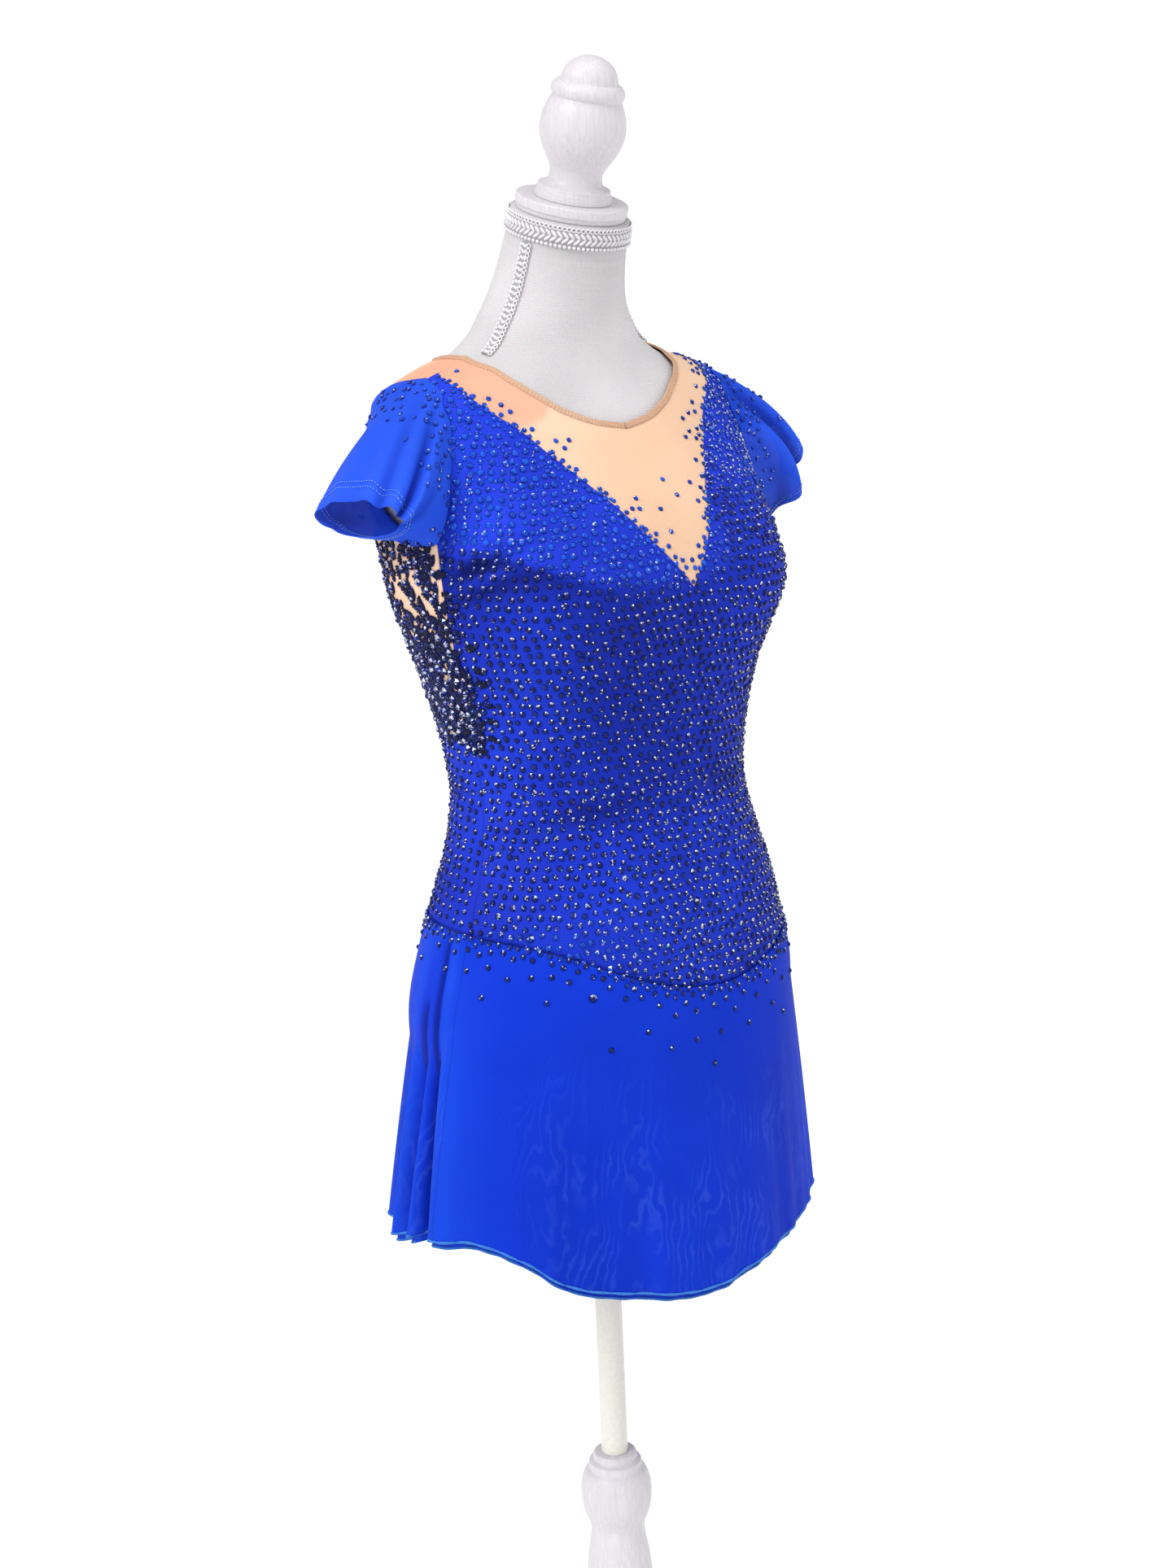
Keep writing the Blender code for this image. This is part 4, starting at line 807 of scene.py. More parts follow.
# cubics through the profile's knots; a knot that turns by more than the corner angle stays crisp,
# with a tiny chamfer
def profileCurve(profile, fine, corner=32.0, chamfer=0.0003):
    profile = np.array(profile, float)
    step = np.diff(profile, axis=0)
    size = np.linalg.norm(step, axis=1, keepdims=True)
    way = step / size
    bend = np.degrees(np.arccos(np.clip((way[1:] * way[:-1]).sum(axis=1), -1.0, 1.0)))
    crisp = np.concatenate([[True], bend > corner, [True]])
    runs = []
    for k in range(len(step)):
        first = way[k] if crisp[k] else way[k - 1] + way[k]
        last = way[k] if crisp[k + 1] else way[k] + way[k + 1]
        a, b = (v / np.linalg.norm(v) * size[k] for v in (first, last))
        trim = min(chamfer / size[k, 0], 0.2)
        begin = trim if crisp[k] and k > 0 else 0.0
        end = 1.0 - trim if crisp[k + 1] and k < len(step) - 1 else 1.0
        s = np.linspace(begin, end, (1 if crisp[k] and crisp[k + 1] else fine) + 1)[:, None]
        curve = (2 * s**3 - 3 * s**2 + 1) * profile[k] + (s**3 - 2 * s**2 + s) * a \
            + (-2 * s**3 + 3 * s**2) * profile[k + 1] + (s**3 - s**2) * b
        runs.append(curve if crisp[k + 1] else curve[:-1])
    return np.concatenate(runs)


# profile turned round an axis through place, tilted forward
def turnedPiece(name, profile, material, slotName, node, place=(0.0, 0.0, 0.0), tilt=0.0, steps=96, fine=4):
    curve = profileCurve(profile, fine)
    radius, height = np.maximum(curve[:, 0], 0.00005), curve[:, 1]
    turn = np.linspace(0.0, 2.0 * np.pi, steps, endpoint=False)
    across, ahead = radius[:, None] * np.cos(turn), radius[:, None] * np.sin(turn)
    grid = np.stack([across, ahead, height[:, None] + 0.0 * turn], axis=-1)
    rows = len(radius)
    points = np.concatenate([grid.reshape(-1, 3), [[0.0, 0.0, height[0]], [0.0, 0.0, height[-1]]]])
    lean = math.radians(tilt)
    y, z = points[:, 1].copy(), points[:, 2].copy()
    points[:, 1] = y * math.cos(lean) - z * math.sin(lean)
    points[:, 2] = y * math.sin(lean) + z * math.cos(lean)
    points += np.array(place)
    mesh = makeMesh(name, points, [gridFaces(rows, steps, True), tubeCaps(rows, steps)])
    mesh.set_sharp_from_angle(angle=math.radians(28.0))
    addPiece(name, mesh, material, slotName, node)


# part of an upright ellipse as profile knots: middle radius and height, half width, flatness, first and last
# angle from straight out
def profileArc(radius, height, size, flat, start, end, count=9):
    turn = np.radians(np.linspace(start, end, count))
    return [(radius + size * math.cos(t), height + size * flat * math.sin(t)) for t in turn]


finialProfile = [
    (0.0285, 0.0003), (0.0285, 0.0032), (0.0277, 0.0034), (0.0277, 0.0062), (0.0268, 0.0064),
    (0.0268, 0.0090), (0.0234, 0.0102), (0.0203, 0.0124), (0.0193, 0.0165), (0.0200, 0.0215),
    (0.0232, 0.0275), (0.0272, 0.0345), (0.0302, 0.0420), (0.0314, 0.0490), (0.0308, 0.0570),
    (0.0286, 0.0650), (0.0252, 0.0722),
    *profileArc(0.0200, 0.0768, 0.0069, 1.0, -38.0, 82.0),
    *profileArc(0.0000, 0.0836, 0.0207, 0.87, 5.0, 88.0),
]
capProfile = [
    (0.0400, 0.0003), (0.0403, 0.0008), (0.0403, 0.0038), (0.0416, 0.0041), (0.0416, 0.0098),
    (0.0409, 0.0105),
]
columnProfile = [
    (0.0290, 0.0300), (0.0400, 0.0420), (0.0405, 0.0560), (0.0320, 0.0680), (0.0300, 0.0900),
    (0.0335, 0.1700), (0.0330, 0.2500), (0.0300, 0.3200), (0.0258, 0.3750), (0.0222, 0.4020),
    (0.0238, 0.4090), (0.0275, 0.4190), (0.0292, 0.4320), (0.0284, 0.4440), (0.0252, 0.4530),
    (0.0218, 0.4565), (0.0216, 0.4620), (0.0180, 0.4640), (0.0176, 0.4690), (0.0160, 0.4700),
]
baseProfile = [
    (0.1560, 0.0000), (0.1600, 0.0040), (0.1600, 0.0130), (0.1540, 0.0180), (0.1420, 0.0200),
    (0.0620, 0.0250), (0.0480, 0.0280), (0.0460, 0.0297),
]
poleProfile = [(0.011, 0.4703), (0.011, 0.7807)]
neckAxis = np.array([0.0, -math.sin(math.radians(neckTilt)), math.cos(math.radians(neckTilt))])
neckMiddle = np.array([0.0, -rings[-1, 1], neckTop])
finialFoot = neckMiddle + neckAxis * capProfile[-1][1]
turnedPiece("neck_disc", capProfile, whiteWood, "white_wood", "neck_cap", neckMiddle, neckTilt)
turnedPiece("turned_finial", finialProfile, whiteWood, "white_wood", "finial", finialFoot, neckTilt)
turnedPiece("turned_column", columnProfile, whiteWood, "white_wood", "stand_column")
turnedPiece("round_base", baseProfile, whiteWood, "white_wood", "stand_base", steps=128)
turnedPiece("stand_pole", poleProfile, whiteMetal, "white_metal", "pole", steps=48, fine=12)
print("form and stand made")


# bodice and yoke
bodiceLook = {
    "lowerRows": 84, "upperRows": 56, "columns": 60, "backRows": 46, "backColumns": 54, "thick": 0.0008,
    "yokeRows": 60, "yokeColumns": 30, "yokeBackRows": 50, "yokeSideRows": 30, "yokeNeckColumns": 46,
    "yokeThick": 0.0006, "yokePoint": 0.0006, "foldLow": -0.0012, "foldHigh": 0.0034, "girth": 0.135,
    # painted shade and light: a fold that counts in full; painted shade in the trough under the chest line:
    # amount, fade, edge; painted light on the part above it: amount, edge, angle where it ends, fade in
    # degrees
    "fullShadeFold": 0.0016, "chestShade": (1.5, 0.017, 0.0025), "paintedChestLight": (0.75, 0.004, 30.0, 20.0),
    # doubled yoke: where it starts in front and its slant; behind, its height, angle where it has gone, fade
    "doubledFront": (0.45, 0.28), "doubledBack": (1.325, 128.0, 22.0), "doubledEdge": 0.02,
}
# soft troughs and ridges: ring height, angle, half length, half width, tilt in degrees, depth outwards
bodiceFolds = np.array([
    (1.2440, -58.0, 0.036, 0.0075, 27.0, 0.0030), (1.2300, -58.0, 0.038, 0.0065, 24.0, -0.0018),
    (1.2200, -61.0, 0.036, 0.006, 18.0, 0.0016), (1.2100, -64.0, 0.034, 0.006, 14.0, -0.0010),
    (1.240, 60.0, 0.030, 0.007, -24.0, -0.0014), (1.228, 57.0, 0.032, 0.007, -20.0, 0.0012),
    (1.262, -66.0, 0.026, 0.006, 60.0, -0.0012), (1.266, 66.0, 0.026, 0.006, -60.0, -0.0012),
    (1.040, -40.0, 0.040, 0.009, 4.0, -0.0008), (1.048, 26.0, 0.040, 0.010, -5.0, -0.0008),
    (1.030, 70.0, 0.030, 0.008, 6.0, 0.0008), (1.052, -112.0, 0.040, 0.009, 5.0, -0.0010),
    (1.044, 118.0, 0.040, 0.009, -4.0, -0.0010), (1.028, 160.0, 0.050, 0.009, 2.0, 0.0009),
    (1.150, 140.0, 0.040, 0.010, 30.0, 0.0007), (1.150, -140.0, 0.040, 0.010, -30.0, 0.0007),
])


# each fold is a gaussian across its width times a gaussian along its length, turned by its tilt
def bodyFolds(height, angle):
    total = np.zeros(np.broadcast(height, angle).shape)
    for foldHeight, foldAngle, halfLength, halfWidth, tilt, depth in bodiceFolds:
        apart = wrapped(angle - foldAngle)
        x = np.radians(apart) * bodiceLook["girth"]
        z = height - foldHeight
        turn = math.radians(tilt)
        longWay = x * math.cos(turn) + z * math.sin(turn)
        crossWay = -x * math.sin(turn) + z * math.cos(turn)
        total += depth * np.exp(-((longWay / halfLength) ** 2) - (crossWay / halfWidth) ** 2)
    return np.clip(total, bodiceLook["foldLow"], bodiceLook["foldHigh"])


def onBodice(height, angle, lift=0.0):
    out = clothGap(height) + cloth["wall"] + bodyFolds(height, angle) + lift
    return outFromBody(height, angle, out)


# lower edge of the upper chest, with painted light above it: ring height against the angle, and how deep the
# painted shade in the trough under it is
chestLine = np.array([
    (-90.0, 1.238), (-62.0, 1.236), (-48.0, 1.230), (-36.0, 1.216), (-24.0, 1.206), (0.0, 1.200),
    (20.0, 1.215), (60.0, 1.262),
])
chestShadeDepth = np.array([
    (-90.0, 1.0), (-60.0, 1.0), (-48.0, 0.70), (-36.0, 0.42), (-22.0, 0.15), (-8.0, 0.0),
])
# broad soft patches of painted light and shade: ring height, angle, half height, half angle, amount
bodiceLightPatches = [
    (1.120, -26.0, 0.070, 26.0, -0.30), (1.010, -74.0, 0.050, 20.0, 0.45), (1.255, 42.0, 0.065, 30.0, 0.85),
]


def chestEdge(angle):
    return np.interp(angle, chestLine[:, 0], chestLine[:, 1])


# painted shade and light of the bodice: from the folds, plus a painted shade in a trough that starts sharply
# under the chest line and fades out downwards, painted light above that line, and broad patches of painted
# light and shade
def bodicePaintedShading(height, angle):
    angle = wrapped(angle)
    below = chestEdge(angle) - height
    chestShade = np.interp(angle, chestShadeDepth[:, 0], chestShadeDepth[:, 1]) * (np.abs(angle) < 90.0)
    amount, fade, edge = bodiceLook["chestShade"]
    paintedShadingAndDoubling = bodyFolds(height, angle) / bodiceLook["fullShadeFold"]
    paintedShadingAndDoubling = paintedShadingAndDoubling - amount * (chestShade * np.exp(-np.maximum(below, 0.0) / fade) * clipped(below / edge))
    amount, edge, last, fade = bodiceLook["paintedChestLight"]
    paintedShadingAndDoubling = paintedShadingAndDoubling + amount * (clipped(-below / edge) * clipped((last - angle) / fade) * (angle > -90.0))
    for patchHeight, patchAngle, halfHeight, halfAngle, amount in bodiceLightPatches:
        up, aside = (height - patchHeight) / halfHeight, (angle - patchAngle) / halfAngle
        paintedShadingAndDoubling = paintedShadingAndDoubling + amount * np.exp(-(up**2) - aside**2)
    return np.clip(paintedShadingAndDoubling, -1.0, 1.0)


# the yoke is doubled over the right shoulder beyond a slanting line, which deepens its tone
def yokeFrontCrease(height, angle):
    share = crowdedShare(height.shape[0])[:, None]
    way = np.linspace(1.0, 0.0, height.shape[1])[None, :]
    start, slant = bodiceLook["doubledFront"]
    return -clipped((share - start - slant * way) / bodiceLook["doubledEdge"]) * (angle[-1, 0] < 0.0)


# behind the shoulder the doubled part fades out towards the centre back
def yokeBackCrease(height, angle):
    start, last, fade = bodiceLook["doubledBack"]
    doubled = clipped((height - start) / bodiceLook["doubledEdge"]) * clipped((last - np.abs(angle)) / fade)
    return -doubled * (angle[-1, 0] < 0.0)


def bodiceGrid(heightAngle, paintedShadingAndDoublingOf=bodicePaintedShading):
    height, angle = heightAngle
    return onBodice(height, angle), clothUv(height, angle), paintedShadingAndDoublingOf(height, angle)


def mirrored(heightAngle):
    return heightAngle[0][:, ::-1], -heightAngle[1][:, ::-1]


# shares from 0 to 1 that crowd towards the end
def crowdedShare(count):
    return 1.0 - (1.0 - np.linspace(0.0, 1.0, count)) ** 1.6


def bodiceFrontHalf(side):
    half = cloth["seamGap"] * 0.5
    turn = cloth["seamTurn"]
    share = crowdedShare(bodiceLook["upperRows"])
    vLine = seamShift(along(vEdge, share), -half)
    vLine[1][0], vLine[1][-1] = 0.0, 90.0 - turn
    arm = seamShift(along(armholeFront, share), half)
    arm[1][0], arm[1][-1] = armholeFront[0, 2] - turn, 90.0 - turn
    bottomAngle = np.linspace(0.0, skirtSeam - turn, bodiceLook["columns"])
    bottom = (dropWaistHeight(bottomAngle * side) + half, bottomAngle)
    centre = straightEdge((bottom[0][0], 0.0), (vLine[0][0], 0.0), bodiceLook["lowerRows"])
    seamHeight = np.linspace(bottom[0][-1], arm[0][0], bodiceLook["lowerRows"])
    inner = joined(centre, vLine)
    outer = joined((seamHeight, sideSeamAngle(seamHeight) - turn), arm)
    top = straightEdge((inner[0][-1], inner[1][-1]), (outer[0][-1], outer[1][-1]), bodiceLook["columns"])
    return patch(bottom, top, inner, outer)


def yokeFrontHalf():
    share = crowdedShare(bodiceLook["yokeRows"])
    neck = along(neckEdgeFront, share)
    vLine = seamShift(along(vEdge, share), cloth["seamGap"] * 0.5)
    vLine[0][0] += bodiceLook["yokePoint"]
    vLine[1][0] = 0.0
    neck[1][-1] = vLine[1][-1] = 90.0 - cloth["seamTurn"]
    way = np.linspace(0.0, 1.0, bodiceLook["yokeColumns"])[None, :]
    return [neck[k][:, None] * (1.0 - way) + vLine[k][:, None] * way for k in range(2)]


def yokeBackHalf():
    look = bodiceLook
    turn = cloth["seamTurn"]
    share = crowdedShare(look["yokeBackRows"])
    arm = seamShift(along(armholeBack, share), -cloth["seamGap"] * 0.5)
    arm[1][0], arm[1][-1] = armholeBack[0, 2] + turn, 90.0 + turn
    low = along(lowBackEdge, np.linspace(0.0, 1.0, look["backColumns"]))
    low = (low[0] + cloth["seamGap"], low[1].copy())
    low[1][0] += turn
    seamHeight = np.linspace(low[0][0], arm[0][0], look["yokeSideRows"])
    outer = joined((seamHeight, sideSeamAngle(seamHeight) + turn), arm)
    neck = along(neckEdgeBack, np.linspace(0.0, 1.0, look["yokeNeckColumns"]))
    neck[1][0] = 90.0 + turn
    count = look["backColumns"] - look["yokeNeckColumns"] + 1
    shoulder = straightEdge((arm[0][-1], 90.0 + turn), (neck[0][0], 90.0 + turn), count)
    top = joined(shoulder, neck)
    rise = np.linspace(0.0, 1.0, len(outer[0])) ** 0.75
    centre = (low[0][-1] + (neck[0][-1] - low[0][-1]) * rise, np.full(len(rise), 180.0))
    return patch(low, top, outer, centre)


def bodiceBackGrid():
    turn = cloth["seamTurn"]
    low = along(lowBackEdge, np.linspace(0.0, 1.0, bodiceLook["backColumns"]))
    top = (np.concatenate([low[0], low[0][-2::-1]]), np.concatenate([low[1], 360.0 - low[1][-2::-1]]))
    top[1][0] += turn
    top[1][-1] -= turn
    angle = np.linspace(skirtSeam + turn, 360.0 - skirtSeam - turn, len(top[0]))
    bottom = (dropWaistHeight(angle) + cloth["seamGap"] * 0.5, angle)
    left, right = (np.linspace(bottom[0][k], top[0][k], bodiceLook["backRows"]) for k in (0, -1))
    left = (left, sideSeamAngle(left) + turn)
    height, angle = patch(bottom, top, left, (right, 360.0 - sideSeamAngle(right) - turn))
    uv = clothUv(height, angle)
    wholeRound = 2.0 * roundArc(height, np.full(height.shape, 179.99))
    uv[..., 0] += np.where(uv[..., 0] < 0.0, wholeRound, 0.0)
    return onBodice(height, angle), uv, bodicePaintedShading(height, angle)


frontGrids = [bodiceGrid(bodiceFrontHalf(1.0)), bodiceGrid(mirrored(bodiceFrontHalf(-1.0)))]
yokeFrontGrids = [bodiceGrid(half, yokeFrontCrease) for half in (yokeFrontHalf(), mirrored(yokeFrontHalf()))]
yokeBackGrids = [bodiceGrid(half, yokeBackCrease) for half in (yokeBackHalf(), mirrored(yokeBackHalf()))]
thick, yokeThick = bodiceLook["thick"], bodiceLook["yokeThick"]
clothPiece("bodice_front_cloth", frontGrids, thick, blueStretch, "blue_stretch", "bodice_front")
clothPiece("yoke_front_mesh", yokeFrontGrids, yokeThick, nudeMesh, "nude_mesh", "yoke_front")
clothPiece("yoke_back_mesh", yokeBackGrids, yokeThick, nudeMesh, "nude_mesh", "yoke_back")
clothPiece("bodice_back_cloth", [bodiceBackGrid()], thick, blueStretch, "blue_stretch", "bodice_back")
print("bodice made")

# neckline binding
bindingShape = {
    "steps": 55, "sides": 14, "width": 0.0048, "thick": 0.0016, "lift": 0.0005, "squareness": 0.7,
    # step, length and width of the stitches
    "stitch": (0.0022, 0.0020, 0.0005), "thread": (0.85, 0.58, 0.42),
    # two lines of stitches: share of the width up, share of the thickness out, slant
    "stitches": [(0.20, 0.92, 0.35), (0.42, 1.0, -0.35)],
}


# oval section swept round the neckline, standing on the yoke's edge
def makeBinding():
    shape = bindingShape
    share = np.linspace(0.0, 1.0, shape["steps"] + 1)
    height, angle = joined(along(neckEdgeFront, share), along(neckEdgeBack, share))
    height = np.concatenate([height, height[-2:0:-1]])
    angle = np.concatenate([angle, -angle[-2:0:-1]])
    low = outFromBody(height, angle, clothGap(height) + shape["lift"])
    away = bodyNormal(height, angle)
    up = np.cross(away, unit(np.roll(low, -1, axis=0) - np.roll(low, 1, axis=0)))
    up *= np.sign((up * (np.array([0.0, 0.0, neckTop]) - low)).sum(-1, keepdims=True))
    turn = np.linspace(0.0, 2.0 * np.pi, shape["sides"], endpoint=False)
    side, rise = np.cos(turn), np.sin(turn)
    across = shape["width"] * (0.52 + 0.50 * np.sign(side) * np.abs(side) ** shape["squareness"])
    out = shape["thick"] * (0.45 + 0.55 * np.sign(rise) * np.abs(rise) ** shape["squareness"])
    grid = low[None] + up[None] * across[:, None, None] + away[None] * out[:, None, None]
    uv = np.stack(np.broadcast_arrays(across[:, None], runLength(low)[None, :]), axis=-1)
    faces = gridFaces(len(turn), len(low), True, tube=True)
    mesh = makeMesh("neckline_band", grid, [faces], uv)
    addPiece("neckline_band", mesh, nudeBinding, "nude_binding", "neckline_binding")
    runs = []
    for upShare, outShare, slant in shape["stitches"]:
        line = low + up * shape["width"] * upShare + away * shape["thick"] * outShare
        runs.append(stitchRun(line, away, shape["stitch"], slant))
    addStitches("neckline_stitching", runs, shape["thread"], "nude_binding")


makeBinding()

# sleeves
sleeveShape = {
    "steps": 168, "rows": 52, "length": 0.085, "hemDepth": 0.0085, "hemProud": 0.0005, "overlap": 0.0022,
    "thick": 0.0007, "seamLift": 0.0010, "armMiddle": (0.008, 1.295), "flare": 0.35, "uvRadius": 0.055,
    # painted shade and light: a fold that counts in full, the painted shade over the whole left sleeve
    "fullShadeFold": 0.0045, "leftSleeveShade": 0.20,
    # folds of the right and left sleeve: turn round the hem, how far on it starts at the seam, width,
    # far width, depth, how late
    "folds": {
        -1.0: [
            (60.0, 50.0, 10.0, 10.0, -0.0034, 1.0), (80.0, 60.0, 8.0, 8.0, 0.0044, 0.9),
            (97.0, 58.0, 9.0, 5.0, -0.0082, 0.9), (120.0, 45.0, 9.0, 10.0, 0.0034, 0.8),
            (140.0, 35.0, 9.0, 9.0, -0.0038, 0.8), (158.0, 20.0, 9.0, 9.0, 0.0020, 0.8),
            (205.0, -8.0, 10.0, 10.0, 0.0016, 0.9), (252.0, -20.0, 17.0, 17.0, 0.0028, 1.3),
            (300.0, 0.0, 12.0, 12.0, -0.0018, 1.2),
        ],
        1.0: [
            (40.0, 40.0, 12.0, 12.0, -0.0030, 1.0), (66.0, 50.0, 12.0, 9.0, 0.0060, 0.9),
            (92.0, 52.0, 10.0, 7.0, -0.0180, 0.9), (118.0, 45.0, 10.0, 10.0, 0.0040, 0.8),
            (141.0, 35.0, 9.0, 9.0, -0.0034, 0.8), (160.0, 20.0, 9.0, 9.0, 0.0020, 0.8),
            (208.0, -8.0, 11.0, 11.0, 0.0018, 0.9), (250.0, -20.0, 16.0, 16.0, 0.0026, 1.3),
            (296.0, 0.0, 12.0, 12.0, -0.0022, 1.2),
        ],
    },
    # pushes of the back wall: turn, width, peak way, spread, forward, up
    "pushes": {
        -1.0: [(272.0, 62.0, 0.30, 0.27, 0.025, 0.003), (338.0, 42.0, 0.34, 0.22, 0.004, 0.013)], 1.0: [],
    },
    # ovals round the arm that each line bends towards and ends at: middle, what the side adds to it, reach
    # downwards, what the side adds to that, reach forwards
    "bend": [(0.1755, 0.004, 1.2830), (0.0095, 0.0, -0.0020), (-0.0062, 0.0, -0.0450), (0.0, 0.0, 0.0),
             (0.0, -0.0570, 0.0)],
    "hem": [(0.1980, 0.002, 1.2600), (0.0010, 0.0, -0.0035), (-0.0080, 0.0, -0.0253), (0.0, 0.0, -0.0122),
            (0.0, -0.0490, 0.0040)],
    # gathers at the armhole seam: height, how many, how far they reach
    "gathers": (0.0006, 26.0, 0.14),
    # lines of stitches: how far back from the hem, how far out; the inner ones face inwards; and the step,
    # length and width of a stitch
    "stitches": [(0.0, 0.0006), (0.0, -0.0012), (0.0032, 0.0006), (0.0032, -0.0012)],
    "stitchLine": 0.012, "stitch": (0.0030, 0.0024, 0.00062), "thread": (0.20, 0.42, 1.0),
}


# folds of a sleeve in metres: gaussians round the arm that drift towards the seam and grow towards the hem
def sleeveFolds(side, degrees, way):
    amount = 0.0 * degrees * way
    for foldTurn, drift, width, farWidth, depth, late in sleeveShape["folds"][side]:
        apart = wrapped(degrees - foldTurn - drift * (1.0 - way))
        amount = amount + depth * np.exp(-((apart / np.where(apart > 0.0, farWidth, width)) ** 2)) * way**late
    return amount


def sleeveOval(key, side, down, fore):
    middle, sideAdds, downReach, sideDown, foreReach = (np.array(row) for row in sleeveShape[key])
    point = middle + sideAdds * side + (downReach + sideDown * side) * down[..., None]
    return point + foreReach * fore[..., None]


# each line out from the armhole is a quadratic curve over the shoulder to the hem, with the folds added
def sleevePoint(side, turn, way, lift=0.0):
    share = np.linspace(0.0, 1.0, 60)
    over = sleeveShape["overlap"]
    front = seamShift(along(armholeFront, share), over)
    height, angle = joined(front, [part[::-1] for part in seamShift(along(armholeBack, share), -over)])
    loop = outFromBody(height, angle, clothGap(height) + cloth["wall"] + sleeveShape["seamLift"])
    aheadOf, above = (loop[:, k + 1] - sleeveShape["armMiddle"][k] for k in range(2))
    loopTurn = np.arctan2(-aheadOf, -above) % (2.0 * np.pi)
    order = np.argsort(loopTurn)
    start = pointsAt(turn, loopTurn[order], loop[order], 2.0 * np.pi)
    down, fore = np.cos(turn), np.sin(turn)
    bend, hem = sleeveOval("bend", side, down, fore), sleeveOval("hem", side, down, fore)
    step = way[..., None]
    point = start * (1.0 - step) ** 2 + 2.0 * bend * step * (1.0 - step) + hem * step**2
    outward = unit(np.stack([np.full(np.shape(turn), sleeveShape["flare"]), -fore, -down], axis=-1))
    degrees = np.degrees(turn)
    for pushTurn, width, peak, spread, forward, up in sleeveShape["pushes"][side]:
        apart = wrapped(degrees - pushTurn) / width
        share = np.exp(-(apart**2) - ((way - peak) / spread) ** 2) * clipped(way / 0.12)
        point = point + share[..., None] * np.array([0.0, -forward, up])
    gather, gathers, reach = sleeveShape["gathers"]
    gather = gather * np.sin(turn * gathers + side) * np.exp(-((way / reach) ** 2)) * clipped(way / 0.03)
    point = point + outward * (lift + sleeveFolds(side, degrees, way) + gather)[..., None]
    mirror = np.array([side, 1.0, 1.0])
    return point * mirror, outward * mirror


def makeSleeve(name, side, node):
    shape = sleeveShape
    turn = np.linspace(0.0, 2.0 * np.pi, shape["steps"], endpoint=False)[None, :]
    turn, way = np.broadcast_arrays(turn, np.linspace(0.0, 1.0, shape["rows"])[:, None])
    length = shape["length"]
    hemStart = 1.0 - shape["hemDepth"] / length
    grid, _ = sleevePoint(side, turn, way, shape["hemProud"] * clipped((way - hemStart) / 0.02))
    uv = np.stack([turn * shape["uvRadius"], way * length], axis=-1)
    # painted shade in the fold troughs and painted light on the ridges, and painted shade over the whole left
    # sleeve
    paintedShadingAndDoubling = sleeveFolds(side, np.degrees(turn), way) / shape["fullShadeFold"] - shape["leftSleeveShade"] * (1.0 + side)
    grids = [(grid, uv, np.clip(paintedShadingAndDoubling, -1.0, 1.0))]
    clothPiece(name, grids, shape["thick"], sleeveMesh, "blue_mesh", node, wrap=True)
    ring = np.linspace(0.0, 2.0 * np.pi, 200, endpoint=False)
    runs = []
    for back, lift in shape["stitches"]:
        atHem = np.full(len(ring), hemStart + shape["stitchLine"] - back / length)
        line, out = sleevePoint(side, ring, atHem, lift)
        runs.append(stitchRun(line, out * np.sign(lift), shape["stitch"]))
    addStitches(name + "_stitching", runs, shape["thread"], "blue_mesh")


makeSleeve("cap_sleeve_right", -1.0, "sleeve_right")
makeSleeve("cap_sleeve_left", 1.0, "sleeve_left")
print("sleeves made")

# skirt
skirtShape = {
    "rows": (64, 36), "frontColumns": 270, "backColumns": 300, "hemForward": 0.004, "hemHalfWidth": 0.188,
    "hemFront": 0.138, "hemBack": 0.131, "inset": 0.0045, "longer": 0.006, "seamTurn": 0.03, "bulge": 0.14,
    "uvRound": 0.16, "uvLong": 0.25, "thick": 0.0008, "layerGap": 0.0006, "proud": 0.0005, "grow": 0.60,
    # below the seam and clear of the form at the hem: the inner layer, what the outer one adds
    "below": (0.0004, 0.0002), "clear": (0.0006, 0.0012),
    # painted shade and light: a fold that counts in full, the deepest painted shade in a trough;
    # painted light on the sides: amount, angle, fade, angle, fade
    "fullShadeFold": 0.0080, "deepest": -0.6, "aside": (0.70, 82.0, 3.0, 140.0, 20.0),
    # light ripples between the folds: height, how many round the body, start
    "ripples": [(0.0007, 23.0, 1.3), (0.0006, 37.0, 0.4)],
    # painted shade beyond a ridge: angle at the hem, lean, reach in degrees, amount, where it starts
    "shades": [(-84.6, -4.0, 4.6, 2.2, 0.0), (-94.6, 0.0, 3.6, 1.7, 0.22), (-107.5, 0.0, 4.5, 1.2, 0.34)],
    "rollSteps": 720, "rollSides": 8, "rollRadius": 0.0011,
}


# folds of the skirt in metres: gaussians round the body that lean and grow towards the hem
def skirtFoldAmount(angle, way):
    amount = 0.0 * angle * way
    for foldAngle, width, depthOut, begin, lean, farWidth in skirtFolds:
        apart = wrapped(angle - (foldAngle - np.sign(foldAngle) * lean * (1.0 - way)))
        spread = np.where(apart * np.sign(foldAngle) > 0.0, farWidth, width)
        grow = clipped((way - begin) / (1.0 - begin)) ** skirtShape["grow"]
        amount = amount + depthOut * np.exp(-((apart / spread) ** 2)) * grow
    return amount


# each painted shade starts sharply at its angle and fades out over a few degrees
def skirtShade(angle, way):
    paintedShade = 0.0 * angle * way
    for start, lean, reach, amount, begin in skirtShape["shades"]:
        beyond = start + lean * (1.0 - way) - wrapped(angle)
        deep = amount * clipped((way - begin) / 0.06) ** 0.5
        fade = clipped(beyond / 0.5) * np.exp(-np.maximum(beyond, 0.0) / reach) * (beyond < 3.0 * reach)
        paintedShade = paintedShade + deep * fade
    return paintedShade


